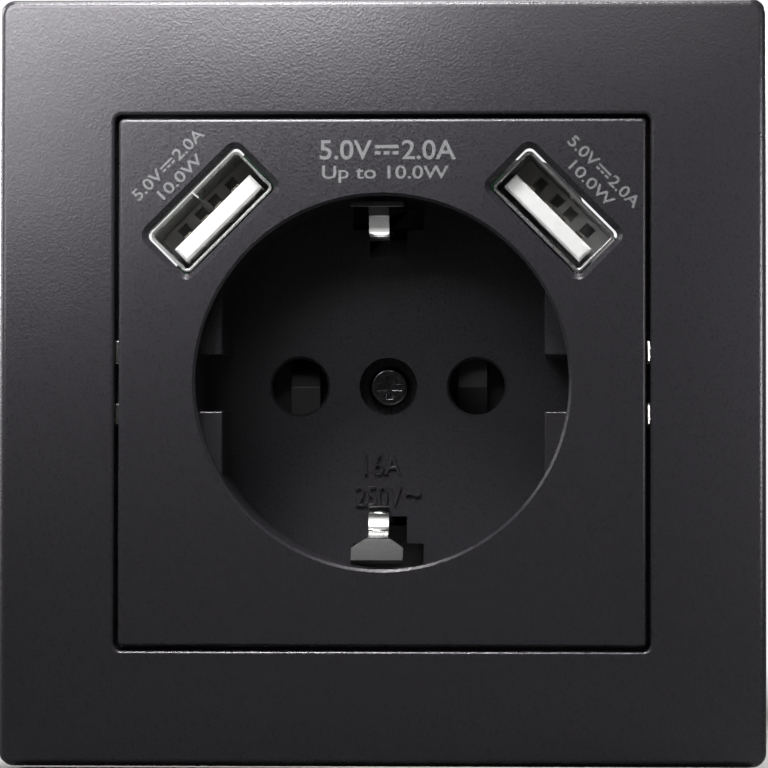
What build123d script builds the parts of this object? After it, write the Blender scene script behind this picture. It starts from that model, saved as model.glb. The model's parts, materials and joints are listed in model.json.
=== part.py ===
from build123d import *
import os
from math import cos, radians, sin

# Flush wall socket with an earthed round plug well and two slanted charging ports.
# Every piece is drawn face up: x to the right, y up the wall, z out of the wall to the user,
# with z = 0 on the wall and the plug axis at x = y = 0. The finished pieces are then turned
# so that the face looks along -Y and +Z is up. All sizes are millimetres.

# Cover frame
FRAME_SIDE = 80.0
FRAME_RISE = 9.8  # its face above the wall
FRAME_CORNER = 1.6
FRAME_EDGE = 0.8  # rounding of the outer front edge
FRAME_WALL = 2.0
FRAME_SKIN = 2.0
COLLAR_WALL = 1.4
WINDOW_CORNER = 0.75
WINDOW_EDGE = 0.4
LEDGE_RISE = 3.8  # back of the ledge above the wall
LEDGE_THICKNESS = 1.4
LEDGE_WIDTH = 1.8
FRAME_RIB = 1.2
FRAME_RIB_OFFSET = 20.0
FRAME_RIB_RISE = 2.2

# Centre plate and plug well
INSERT_SIDE = 55.0
INSERT_GAP = 0.45  # shadow gap to the frame
INSERT_PROUD = 0.2
INSERT_CORNER = 0.5
INSERT_EDGE = 0.35
PLATE_SKIN = 2.0
SKIRT_WALL = 1.4
PLATE_RIB = 1.2
PLATE_RIB_DROP = 2.4
WELL_RADIUS = 19.5
WELL_DEPTH = 17.5
WELL_WALL = 1.0
RIM_CHAMFER = 0.3
FLOOR_THICKNESS = 2.0
KEY_HEIGHT = 2.6  # flat of each side key in from the well wall
KEY_DROP = 4.0  # front of the keys below the face
KEY_NOTCH = 5.9
KEY_EDGE = 0.2
PIN_SPACING = 19.0
PIN_LENGTH = 19.0
PIN_HOLE_RADIUS = 3.0
PIN_HOLE_CHAMFER = 0.25
SLOT_LENGTH = 5.6  # earth slots in the floor, in from the well wall
SLOT_WIDE_LENGTH = 2.7
SLOT_NARROW = 4.0
SLOT_WIDE = 7.6

# Centre screw and its thread
HEAD_RADIUS = 2.2
HEAD_HEIGHT = 1.6
HEAD_EDGE = 0.5
HEAD_DROP = 2.5  # top of the head below the well floor
HEAD_BORE_RADIUS = 3.1
SCREW_RADIUS = 1.5
SCREW_LENGTH = 9.0
SCREW_CLEARANCE = 0.2
RECESS_SPAN = 2.6
RECESS_WIDTH = 0.7
RECESS_DEPTH = 1.0
BOSS_WALL = 1.0
INSERT_NUT_RADIUS = 2.6
INSERT_NUT_LENGTH = 6.0
PRESS_CLEARANCE = 0.02

# Safety shutter
SHUTTER_THICKNESS = 4.2
SHUTTER_PLAY = 0.25
SHUTTER_RADIUS = 12.9
SHUTTER_HALF_ANGLE = 20.5
SHUTTER_PLATE = 1.4
SHUTTER_CLEARANCE = 0.2
HUB_CLEARANCE = 0.1
HUB_WEB = 1.8
HUB_WALL = 0.7
RAMP_WIDTH = 3.2
RAMP_RADIUS = 9.0  # middle of each ramp from the plug axis
RAMP_LAND = 4.2
RAMP_RUN = 4.2

# Shutter spring
SPRING_WIRE = 0.25
SPRING_FLATS = 6  # the wire has a six sided section
SPRING_POCKET = 1.3
SPRING_TURNS = 2.25
SPRING_PITCH = 0.7
SPRING_LEG = 1.4
SPRING_LEG_CLEARANCE = 0.12

# Earth strip
STRIP_SHEET = 0.6
STRIP_WIDTH = 6.0
STRIP_RISE = 1.2  # the strip sits this far above the plug axis
STRIP_SHIFT = -0.6  # and this far to the side of it
STRIP_BEND = 0.9
STRIP_CLEARANCE = 0.2
CLIP_WIDTH = 2.2
CLIP_FOOT_INSET = 4.0  # clip points in from the well wall
CLIP_FOOT_BEND = 1.5
CLIP_NOSE_INSET = 5.3  # where the clip grips the plug
CLIP_NOSE_DROP = 8.6
CLIP_NOSE_BEND = 1.2
CLIP_KNEE_INSET = 2.6  # from here to the nose the clip lies as a shelf
CLIP_KNEE_DROP = 7.4
CLIP_KNEE_BEND = 0.8
CLIP_CREASE_INSET = 1.8
CLIP_CREASE_DROP = 5.0
CLIP_CREASE_BEND = 0.5
CLIP_TIP_DROP = 2.4
CLIP_TIP_GAP = 0.75
CLIP_TIP_WIDTH = 5.5
CLIP_SPREAD = 1.3  # height over which the clip widens
CLIP_RELIEF_DEPTH = 3.2
CLIP_RELIEF_MARGIN = 0.2

# Base housing
LEG_CLEARANCE = 0.5  # well wall to the legs of the bracket
BASE_RAISE = 4.0  # top of the base above the well wall
BASE_CORNER = 6.0
BASE_WALL = 1.6
BASE_END = 0.7  # back of the contacts to the back of the base
DECK_THICKNESS = 2.0
WELL_BACKING = 1.8
CAVITY_FLOOR = 6.0  # lower wall of the charger cavity above the plug axis
PIN_PASSAGE_RADIUS = 2.9

# Contacts
CONTACT_SHEET = 0.7
CONTACT_WIDTH = 6.0
CONTACT_PINCH = 4.3
CONTACT_MOUTH = 6.1
CONTACT_HEEL = 6.3
CONTACT_PLAY = 0.5
CONTACT_LIP = 2.1
CONTACT_HEEL_LENGTH = 1.8
CONTACT_BEND = 0.6
CONTACT_CLEARANCE = 0.35
PIN_END_PLAY = 1.1
TAB_WIDTH = 4.0
TAB_REACH = 2.5

# Terminals
TERMINAL_PITCH = 14.0
TERMINAL_WIDTH = 7.0
TERMINAL_LENGTH = 8.4
TERMINAL_HEIGHT = 7.0
TERMINAL_START = 10.0  # upper face below the plug axis
TERMINAL_CLEARANCE = 0.2
TERMINAL_SCREW_END = 1.5  # block to the back of the base
TAIL_WIDTH = 5.0
TAIL_INSET = 0.4
STEM_LENGTH = 2.6
STEM_WIDTH = 4.8
WIRE_RADIUS = 1.9
WIRE_ENTRY_WIDTH = 5.0
WIRE_ENTRY_HEIGHT = 4.6
TERMINAL_SCREW_RADIUS = 1.5
TERMINAL_HEAD_RADIUS = 2.0
TERMINAL_HEAD_HEIGHT = 1.5
THREAD_CLEARANCE = 0.05
DRIVER_SLOT = 0.6
DRIVER_DEPTH = 0.7
ACCESS_CLEARANCE = 0.4

# Rear cover
COVER_DEPTH = 2.6
COVER_SKIN = 1.4
COVER_EDGE = 1.0
COVER_SCREW_INSET = 3.5
COVER_SCREW_Y = 1.5
COVER_SCREW_RADIUS = 1.1
COVER_SCREW_LENGTH = 8.0
COVER_HEAD_RADIUS = 2.1
COVER_HEAD_HEIGHT = 1.0
COVER_BOSS_WALL = 1.0
POST_RADIUS = 1.4

# Charging ports
PORT_SETBACK = 4.8  # port axis outside the well wall
PORT_ANGLE = 45.0
PORT_WINDOW_WIDTH = 13.3
PORT_WINDOW_HEIGHT = 6.15
PORT_WINDOW_CORNER = 0.7
PORT_WINDOW_CHAMFER = 0.6
SHELL_WIDTH = 12.9
SHELL_HEIGHT = 5.7
SHELL_CORNER = 0.7
SHELL_SHEET = 0.35
SHELL_DROP = 1.5  # front of the shell below the face
SHELL_LENGTH = 13.5
SHELL_LEAD = 0.12
SHELL_SEAM = 0.15
SHELL_FIT = 0.03
TONGUE_WIDTH = 11.1
TONGUE_HEIGHT = 1.84
TONGUE_OFFSET = 0.9
TONGUE_DROP = 0.9
TONGUE_EDGE = 0.25
PORT_HEEL = 3.5  # thickness of the insulator behind the tongue
HEEL_HOLE = 1.2
HEEL_HOLE_DEPTH = 2.0
HEEL_HOLE_OFFSET = 1.4
BLADE_PITCHES = (-3.5, -1.0, 1.0, 3.5)
BLADE_WIDTH = 1.0
BLADE_SHEET = 0.25
BLADE_DROP = 0.6

# Boards and the charger's parts
USB_BOARD_THICKNESS = 1.2
USB_BOARD_CLEARANCE = 0.9
USB_BOARD_BAND = 4.6
USB_BOARD_END_ANGLE = 24.0
USB_LAND_MARGIN = 0.25
USB_POST_ANGLE = 66.0
USB_POST_RADIUS = 0.9
USB_POST_SHOULDER = 2.2
USB_POST_HEAD = 0.5
USB_PAD_INSET = 0.7
CHARGER_BOARD_THICKNESS = 1.4
BOARD_MARGIN = 0.4
LINK_PITCH = 2.54
LINK_PIN = 0.64
LINK_COUNT = 4
LINK_END = 0.5
LINK_INSET = 2.2
CORE_WIDTH = 15.0
CORE_LENGTH = 9.0
CORE_HEIGHT = 8.8
CORE_LIMB = 2.6
CORE_CENTRE_LIMB = 4.4
CORE_YOKE = 2.4
COIL_OVERHANG = 1.6
COIL_CLEARANCE = 0.1
CORE_RAISE = 0.5  # middle of the core above the middle of the cavity
INPUT_CAP_RADIUS = 3.4
INPUT_CAP_HEIGHT = 13.0
OUTPUT_CAP_RADIUS = 2.9
OUTPUT_CAP_HEIGHT = 11.0
CAP_CLEARANCE = 1.4
CAP_GROOVE = 0.35
CAP_GROOVE_RISE = 1.6
CHIP_SIZE = (5.0, 4.0, 1.5)
CHIP_X = 13.0
CHIP_INSET = 3.6  # middle of the chips above the cavity floor
FUSE_RADIUS = 1.2
FUSE_EDGE = 0.4
FUSE_LENGTH = 6.5
FUSE_X = -5.0
FUSE_INSET = 1.8
FUSE_LEAD_RADIUS = 0.35

# Support bracket
BRACKET_SHEET = 1.0
BRACKET_CLEARANCE = 2.5  # bracket to the walls of the frame
BRACKET_CORNER = 9.0
BRACKET_OPENING_CLEARANCE = 1.1
PORT_NOTCH_CLEARANCE = 0.9
BOX_SPACING = 60.0
BOX_SLOT_WIDTH = 3.6
BOX_SLOT_LENGTH = 6.0
FRAME_TAB_WIDTH = 2.2  # tabs that centre the frame
FRAME_TAB_OFFSET = 3.3
FRAME_TAB_RISE = 7.2  # their ends above the wall
FRAME_TAB_GAP = 0.12  # insert to the tabs
FRAME_TAB_CLEARANCE = 0.15
LEG_GRIP = 14.0  # length of each leg along the base
LEG_TOP = 6.0
LEG_BEND = 0.5
LEG_RELIEF = 1.0
RIVET_RADIUS = 1.2
RIVET_HEAD_RADIUS = 2.0
RIVET_HEAD_HEIGHT = 0.6
RIVET_LENGTH = 4.0
RIVET_Y = 3.0
RIVET_DROPS = (3.5, 9.5)  # below the front of the base

# Claws
CLAW_Y = -7.2
CLAW_DROP = 6.0  # hinge behind the wall plane
CLAW_SHEET = 1.4
CLAW_EYE_WIDTH = 8.2
CLAW_EYE_RADIUS = 1.45
CLAW_ARM_WIDTH = 7.0
CLAW_LUG_WIDTH = 6.4
CLAW_LUG = 5.4  # end of the lug from the hinge
CLAW_ARM = 15.5
CLAW_TOE_OUT = 2.7
CLAW_TOE_BACK = 2.8
CLAW_BEND = 0.9
CLAW_STAND = 1.7  # hinge outside the legs
CLAW_WINDOW = 3.6
CLAW_WINDOW_START = 1.9
CLAW_WINDOW_END = 12.2
CLAW_TEETH = 3
CLAW_TOOTH_DEPTH = 1.6
HINGE_PIN_RADIUS = 0.75
HINGE_CLEARANCE = 0.1
EAR_CLEARANCE = 0.2
EAR_REACH = 3.3  # ears out from the legs
EAR_HALF_HEIGHT = 2.0
CLAW_SCREW_RADIUS = 1.25
CLAW_SCREW_OUT = 2.8  # screw axis outside the hinge
CLAW_SCREW_LENGTH = 15.0
CLAW_SCREW_HEAD_RADIUS = 2.2
CLAW_SCREW_HEAD_HEIGHT = 1.8
CLAW_SCREW_CLEARANCE = 0.15
CLAW_SLOT_WIDTH = 3.0
CLAW_SLOT_IN = 1.5
CLAW_SLOT_OUT = 2.0

# Depth levels worked out from the sizes above
FACE = FRAME_RISE + INSERT_PROUD
PLATE_BACK = FACE - PLATE_SKIN
LEDGE_TOP = LEDGE_RISE + LEDGE_THICKNESS
FLOOR = FACE - WELL_DEPTH
FLOOR_BACK = FLOOR - FLOOR_THICKNESS
SHUTTER_FRONT = FLOOR_BACK - SHUTTER_PLAY
SHUTTER_BACK = SHUTTER_FRONT - SHUTTER_THICKNESS
SHUTTER_PLATE_FRONT = SHUTTER_BACK + SHUTTER_PLATE
DECK = SHUTTER_BACK - SHUTTER_PLAY
DECK_BACK = DECK - DECK_THICKNESS
STRIP_FRONT = DECK
STRIP_BACK = STRIP_FRONT - STRIP_SHEET
HEAD_TOP = FLOOR - HEAD_DROP
HEAD_SEAT = HEAD_TOP - HEAD_HEIGHT
WEB_FRONT = FLOOR - PIN_LENGTH - PIN_END_PLAY
WEB_BACK = WEB_FRONT - CONTACT_SHEET
BASE_BACK = WEB_BACK - BASE_END
COVER_BACK = BASE_BACK - COVER_DEPTH
COVER_INSIDE = COVER_BACK + COVER_SKIN
TERMINAL_BACK = BASE_BACK + TERMINAL_SCREW_END
TERMINAL_FRONT = TERMINAL_BACK + TERMINAL_HEIGHT
WIRE_LEVEL = TERMINAL_FRONT - TERMINAL_HEIGHT * 0.42
BOARD_FRONT = WEB_FRONT + CHARGER_BOARD_THICKNESS
SHELL_FRONT = FACE - SHELL_DROP
SHELL_BACK = SHELL_FRONT - SHELL_LENGTH
HEEL_FRONT = SHELL_BACK + PORT_HEEL
TONGUE_FRONT = SHELL_FRONT - TONGUE_DROP
USB_BOARD_BACK = SHELL_BACK - USB_BOARD_THICKNESS

# Places worked out from the sizes above
WINDOW_SIDE = INSERT_SIDE + 2 * INSERT_GAP
COLLAR_SIDE = WINDOW_SIDE + 2 * COLLAR_WALL
LEDGE_SIDE = WINDOW_SIDE - 2 * LEDGE_WIDTH
FRAME_INSIDE = FRAME_SIDE - 2 * FRAME_WALL
WELL_OUTSIDE = WELL_RADIUS + WELL_WALL
PIN_X = PIN_SPACING / 2
KEY_FLAT = WELL_RADIUS - KEY_HEIGHT
SLOT_START = WELL_RADIUS - SLOT_LENGTH
SLOT_STEP = WELL_RADIUS - SLOT_WIDE_LENGTH
CLIP_FOOT_RADIUS = WELL_RADIUS - CLIP_FOOT_INSET
BOSS_RADIUS = HEAD_BORE_RADIUS + BOSS_WALL
HUB_BORE = BOSS_RADIUS + HUB_CLEARANCE
HUB_RADIUS = HUB_BORE + SPRING_POCKET + HUB_WALL
SPRING_RADIUS = HUB_BORE + SPRING_POCKET / 2
RECESS_RADIUS = SHUTTER_RADIUS + SHUTTER_CLEARANCE
PORT_RADIUS = WELL_OUTSIDE + PORT_SETBACK
BASE_HALF = WELL_OUTSIDE + LEG_CLEARANCE
BASE_BOTTOM = BASE_HALF
BASE_TOP = WELL_OUTSIDE + BASE_RAISE
COVER_SCREW_X = BASE_HALF - COVER_SCREW_INSET
LEG_OUTSIDE = BASE_HALF + BRACKET_SHEET
LEG_END = FLOOR_BACK - LEG_GRIP
HINGE_X = LEG_OUTSIDE + CLAW_STAND
HINGE_Z = -CLAW_DROP
CLAW_SCREW_X = HINGE_X + CLAW_SCREW_OUT
EAR_INSIDE = CLAW_EYE_WIDTH / 2 + EAR_CLEARANCE
EAR_OUTSIDE = EAR_INSIDE + BRACKET_SHEET
TERMINAL_END = TERMINAL_START + TERMINAL_LENGTH
TERMINAL_MIDDLE = (TERMINAL_START + TERMINAL_END) / 2
TERMINALS = {"line": -TERMINAL_PITCH, "earth": 0.0, "neutral": TERMINAL_PITCH}
CAVITY_TOP = BASE_TOP - BASE_WALL
CAP_X = BASE_HALF - BASE_WALL - CAP_CLEARANCE - INPUT_CAP_RADIUS
CAP_Y = CAVITY_TOP - CAP_CLEARANCE - INPUT_CAP_RADIUS
CORE_Y = (CAVITY_FLOOR + CAVITY_TOP) / 2 + CORE_RAISE
CHIP_Y = CAVITY_FLOOR + CHIP_INSET
FUSE_Y = CAVITY_FLOOR + FUSE_INSET
FRAME_TAB_X = INSERT_SIDE / 2 + FRAME_TAB_GAP
LINK_Y = BASE_TOP - LINK_INSET
PORTS = {"right": PORT_ANGLE, "left": 180 - PORT_ANGLE}
FAR = 2 * FRAME_SIDE  # longer than anything that it cuts


def slab(outline, back, front):
    """A flat outline carried from one depth to another."""
    return extrude(Plane.XY.offset(back) * outline, front - back)


def rod(x, y, back, front, radius):
    """A round bar along the plug axis."""
    align = (Align.CENTER, Align.CENTER, Align.MIN)
    return Pos(x, y, back) * Cylinder(radius, front - back, align=align)


def block(x0, x1, y0, y1, z0, z1):
    """A box between two values on each axis."""
    return Pos((x0 + x1) / 2, (y0 + y1) / 2, (z0 + z1) / 2) * Box(x1 - x0, y1 - y0, z1 - z0)


def square(side, corner):
    """A square outline with rounded corners."""
    return RectangleRounded(side, side, corner)


def front_face(body):
    """The foremost flat face of a body."""
    return body.faces().filter_by(Axis.Z).sort_by(Axis.Z)[-1]


def four_sides(shape):
    """A shape repeated on the four sides of the socket."""
    return [Rot(0, 0, 90 * i) * shape for i in range(4)]


def at_port(angle):
    """The place of a port: x runs outwards from the plug axis, y along the port."""
    return Rot(0, 0, angle) * Pos(PORT_RADIUS, 0, 0)


def cover_frame():
    """Square frame with a rounded front, a window for the insert and a ledge that it clamps."""
    body = slab(square(FRAME_SIDE, FRAME_CORNER), 0, FRAME_RISE)
    body -= slab(square(WINDOW_SIDE, WINDOW_CORNER), 0, FRAME_RISE)
    body = fillet(front_face(body).outer_wire().edges(), FRAME_EDGE)
    body = fillet(front_face(body).inner_wires()[0].edges(), WINDOW_EDGE)
    skin_back = FRAME_RISE - FRAME_SKIN
    hollow = slab(square(FRAME_INSIDE, FRAME_CORNER), 0, skin_back)
    body -= hollow - slab(square(COLLAR_SIDE, FRAME_CORNER), LEDGE_RISE, skin_back)
    ledge = slab(square(COLLAR_SIDE, FRAME_CORNER), LEDGE_RISE, LEDGE_TOP)
    ledge -= slab(square(LEDGE_SIDE, WINDOW_CORNER), LEDGE_RISE, LEDGE_TOP)
    body += ledge
    middle = WINDOW_SIDE / 2
    rib = block(middle, FRAME_INSIDE / 2 + FRAME_WALL / 2, -FRAME_RIB / 2, FRAME_RIB / 2,
                FRAME_RIB_RISE, skin_back + FRAME_SKIN / 2)
    rib -= block(middle, COLLAR_SIDE / 2 - COLLAR_WALL / 2, -FAR, FAR, -FAR, FAR)
    for sign in (-1, 1):
        body += four_sides(Pos(0, sign * FRAME_RIB_OFFSET, 0) * rib)
    return body - [frame_tab(x, y, FRAME_TAB_CLEARANCE) for x, y in frame_tab_places()]


def frame_tab_places():
    """Side, left or right, and height of each tab."""
    return [(side, sign * FRAME_TAB_OFFSET) for side in (-1, 1) for sign in (-1, 1)]


def frame_tab(side, y, clearance=0.0):
    """Tab of the bracket that centres the frame, or with a clearance its slot in the frame."""
    half = FRAME_TAB_WIDTH / 2 + clearance
    inside = FRAME_TAB_X - clearance
    outside = FRAME_TAB_X + BRACKET_SHEET + clearance
    tab = block(inside, outside, y - half, y + half, 0, FRAME_TAB_RISE + clearance)
    return tab if side > 0 else mirror(tab, about=Plane.YZ)


def side_keys():
    """The two flat sided keys of the plug well, each with a notch in its middle."""
    keys = rod(0, 0, FLOOR - FLOOR_THICKNESS / 2, FACE - KEY_DROP, WELL_RADIUS + WELL_WALL / 2)
    keys -= block(-KEY_FLAT, KEY_FLAT, -FAR, FAR, -FAR, FAR)
    keys -= block(-FAR, FAR, -KEY_NOTCH / 2, KEY_NOTCH / 2, FLOOR, FAR)
    front = keys.edges().filter_by(GeomType.LINE).group_by(Axis.Z)[-1]
    return fillet(front, KEY_EDGE)


def earth_slot():
    """The stepped slot in the floor that lets the upper earth clip through."""
    narrow = block(-SLOT_NARROW / 2, SLOT_NARROW / 2, SLOT_START, SLOT_STEP, FLOOR_BACK, FLOOR)
    wide = block(-SLOT_WIDE / 2, SLOT_WIDE / 2, SLOT_STEP, WELL_RADIUS, FLOOR_BACK, FLOOR)
    return (narrow + wide) & rod(0, 0, FLOOR_BACK, FLOOR, WELL_RADIUS)


def centre_plate():
    """Face plate with its skirt, the plug well and the boss that the shutter turns on."""
    body = slab(square(INSERT_SIDE, INSERT_CORNER), LEDGE_TOP, FACE)
    body -= slab(square(INSERT_SIDE - 2 * SKIRT_WALL, INSERT_CORNER), LEDGE_TOP, PLATE_BACK)
    body += rod(0, 0, FLOOR_BACK, PLATE_BACK, WELL_OUTSIDE)
    rib = block(WELL_RADIUS + WELL_WALL / 2, INSERT_SIDE / 2 - SKIRT_WALL / 2,
                -PLATE_RIB / 2, PLATE_RIB / 2, PLATE_BACK - PLATE_RIB_DROP, PLATE_BACK)
    body += four_sides(rib)
    body -= rod(0, 0, FLOOR, FACE, WELL_RADIUS)
    body += side_keys()
    body += rod(0, 0, STRIP_FRONT, FLOOR_BACK, BOSS_RADIUS)
    body -= rod(0, 0, HEAD_SEAT, FLOOR, HEAD_BORE_RADIUS)
    body -= rod(0, 0, STRIP_FRONT, HEAD_SEAT, SCREW_RADIUS + SCREW_CLEARANCE)
    body -= [earth_slot(), Rot(0, 0, 180) * earth_slot()]
    cone = Cone(PIN_HOLE_RADIUS, PIN_HOLE_RADIUS + PIN_HOLE_CHAMFER, PIN_HOLE_CHAMFER)
    for x in (-PIN_X, PIN_X):
        body -= rod(x, 0, FLOOR_BACK, FLOOR, PIN_HOLE_RADIUS)
        body -= Pos(x, 0, FLOOR - PIN_HOLE_CHAMFER / 2) * cone
    window = RectangleRounded(PORT_WINDOW_HEIGHT, PORT_WINDOW_WIDTH, PORT_WINDOW_CORNER)
    for angle in PORTS.values():
        body -= slab(at_port(angle) * window, PLATE_BACK, FACE)
    body = fillet(front_face(body).outer_wire().edges(), INSERT_EDGE)
    rims = front_face(body).inner_wires().sort_by(SortBy.LENGTH)
    body = chamfer(rims[-1].edges(), RIM_CHAMFER)
    for index in range(len(PORTS)):
        rims = front_face(body).inner_wires().sort_by(SortBy.LENGTH)
        body = chamfer(rims[index].edges(), PORT_WINDOW_CHAMFER)
    return body


def centre_screw():
    """Pan head screw with a cross recess."""
    head = rod(0, 0, HEAD_SEAT, HEAD_TOP, HEAD_RADIUS)
    head = fillet(front_face(head).edges(), HEAD_EDGE)
    arm = block(-RECESS_SPAN / 2, RECESS_SPAN / 2, -RECESS_WIDTH / 2, RECESS_WIDTH / 2,
                HEAD_TOP - RECESS_DEPTH, HEAD_TOP)
    head -= [arm, Rot(0, 0, 90) * arm]
    return head + rod(0, 0, HEAD_SEAT - SCREW_LENGTH, HEAD_SEAT, SCREW_RADIUS)


def screw_insert():
    """Brass bush in the base that takes the centre screw."""
    back = STRIP_BACK - INSERT_NUT_LENGTH
    bush = rod(0, 0, back, STRIP_BACK, INSERT_NUT_RADIUS)
    return bush - rod(0, 0, back, STRIP_BACK, SCREW_RADIUS + PRESS_CLEARANCE)


def safety_shutter():
    """Two blades on a hub, each with a ramp that a plug pin pushes aside."""
    wedge = Polyline((0, 0), (FAR, -FAR * sin(radians(SHUTTER_HALF_ANGLE))),
                     (FAR, FAR * sin(radians(SHUTTER_HALF_ANGLE))), close=True)
    reach = make_face(wedge) & Circle(SHUTTER_RADIUS)
    plate = slab(reach, SHUTTER_BACK, SHUTTER_PLATE_FRONT)
    profile = Polyline((-RAMP_RUN, SHUTTER_PLATE_FRONT), (0, SHUTTER_FRONT),
                       (RAMP_LAND, SHUTTER_FRONT), (RAMP_LAND, SHUTTER_PLATE_FRONT), close=True)
    ramp = extrude(Plane.YZ.offset(RAMP_RADIUS) * make_face(profile), RAMP_WIDTH / 2, both=True)
    blade = plate + (ramp & slab(reach, SHUTTER_BACK, SHUTTER_FRONT))
    body = rod(0, 0, SHUTTER_BACK, SHUTTER_FRONT, HUB_RADIUS) + blade + Rot(0, 0, 180) * blade
    body -= rod(0, 0, SHUTTER_BACK, SHUTTER_FRONT, HUB_BORE)
    pocket_front = SHUTTER_FRONT - HUB_WEB
    body -= rod(0, 0, SHUTTER_BACK, pocket_front, HUB_BORE + SPRING_POCKET)
    leg_hole = rod(SPRING_RADIUS, 0, pocket_front, SHUTTER_FRONT, SPRING_WIRE + SPRING_LEG_CLEARANCE)
    return body - Rot(0, 0, 360 * SPRING_TURNS) * leg_hole


def shutter_spring():
    """Torsion spring round the boss, one leg in the deck and one in the hub."""
    start = SHUTTER_BACK + 2 * SPRING_WIRE
    rise = SPRING_TURNS * SPRING_PITCH
    coil = Helix(SPRING_PITCH, rise, SPRING_RADIUS, center=(0, 0, start))
    section = Plane(coil @ 0, x_dir=(1, 0, 0), z_dir=coil % 0) * RegularPolygon(SPRING_WIRE, SPRING_FLATS)
    wire = sweep(section, path=coil, is_frenet=True)
    back_leg = rod(SPRING_RADIUS, 0, start - SPRING_LEG, start, SPRING_WIRE)
    front_leg = rod(SPRING_RADIUS, 0, start + rise, start + rise + SPRING_LEG, SPRING_WIRE)
    return wire + back_leg + Rot(0, 0, 360 * SPRING_TURNS) * front_leg


def earth_strip():
    """One folded strip: a bridge on the deck with a slanted spring clip at each end."""
    bridge = STRIP_FRONT - STRIP_SHEET / 2
    tip = WELL_RADIUS - CLIP_TIP_GAP
    half = {}
    for sign in (-1, 1):
        foot = sign * CLIP_FOOT_RADIUS + STRIP_RISE
        nose = sign * (WELL_RADIUS - CLIP_NOSE_INSET) + STRIP_RISE
        knee = sign * (WELL_RADIUS - CLIP_KNEE_INSET) + STRIP_RISE
        crease = sign * (WELL_RADIUS - CLIP_CREASE_INSET) + STRIP_RISE
        half[sign] = [(foot, bridge), (foot, FLOOR), (nose, FACE - CLIP_NOSE_DROP),
                      (knee, FACE - CLIP_KNEE_DROP), (crease, FACE - CLIP_CREASE_DROP),
                      (sign * tip, FACE - CLIP_TIP_DROP)]
    bends = [CLIP_CREASE_BEND, CLIP_KNEE_BEND, CLIP_NOSE_BEND, CLIP_FOOT_BEND, STRIP_BEND]
    path = FilletPolyline(*reversed(half[1]), *half[-1], radius=bends + bends[::-1])
    sheet = extrude(Plane.YZ * trace(path, STRIP_SHEET), STRIP_WIDTH / 2, both=True)
    shoulder = STRIP_FRONT + STRIP_BEND
    crease_level = FACE - CLIP_CREASE_DROP
    side = [(STRIP_WIDTH / 2, STRIP_BACK), (STRIP_WIDTH / 2, STRIP_FRONT), (CLIP_WIDTH / 2, shoulder),
            (CLIP_WIDTH / 2, crease_level), (CLIP_TIP_WIDTH / 2, crease_level + CLIP_SPREAD),
            (CLIP_TIP_WIDTH / 2, FACE)]
    outline = make_face(Polyline(*side, *[(-x, z) for x, z in reversed(side)], close=True))
    strip = sheet & extrude(Plane.XZ * outline, FAR, both=True)
    return Pos(STRIP_SHIFT, 0, 0) * strip - rod(0, 0, STRIP_BACK, STRIP_FRONT, SCREW_RADIUS + SCREW_CLEARANCE)


def base_outline():
    """Outline of the base and its cover, taller above the plug axis than below it."""
    middle = Pos(0, (BASE_TOP - BASE_BOTTOM) / 2)
    return middle * RectangleRounded(2 * BASE_HALF, BASE_TOP + BASE_BOTTOM, BASE_CORNER)


def inner_outline():
    """The same outline inside the side walls."""
    wall = 2 * BASE_WALL
    middle = Pos(0, (BASE_TOP - BASE_BOTTOM) / 2)
    return middle * RectangleRounded(2 * BASE_HALF - wall, BASE_TOP + BASE_BOTTOM - wall,
                                     BASE_CORNER - BASE_WALL)


def charger_cavity():
    """Room for the charger above the contacts, clear of the well, the shutter and the upper clip."""
    cavity = slab(inner_outline(), BASE_BACK, FLOOR_BACK - WELL_BACKING)
    cavity -= block(-FAR, FAR, -FAR, CAVITY_FLOOR, -FAR, FAR)
    cavity -= rod(0, 0, DECK_BACK, FAR, RECESS_RADIUS + WELL_BACKING)
    guard = SLOT_WIDE / 2 + CLIP_RELIEF_MARGIN + BASE_WALL
    return cavity - block(-guard, guard, 0, WELL_RADIUS + BASE_WALL, DECK_BACK, FAR)


def contact_room():
    """Pockets, open at the back, for the right-hand contact, its tail and its terminal."""
    half = CONTACT_WIDTH / 2 + CONTACT_CLEARANCE
    tall = CONTACT_HEEL / 2 + CONTACT_SHEET + CONTACT_CLEARANCE
    tail_front = TERMINAL_FRONT + CONTACT_SHEET + TERMINAL_CLEARANCE
    outer = TERMINAL_PITCH + TERMINAL_WIDTH / 2 + TERMINAL_CLEARANCE
    room = block(PIN_X - half, PIN_X + half, -tall, tall, BASE_BACK, DECK_BACK)
    room += block(PIN_X - half, outer, -TERMINAL_START, -tall, BASE_BACK, tail_front)
    tab_half = TAB_WIDTH / 2 + CONTACT_CLEARANCE
    return room + block(PIN_X - tab_half, PIN_X + tab_half, 0, CAVITY_FLOOR,
                        BASE_BACK, WEB_FRONT + CONTACT_CLEARANCE)


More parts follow.
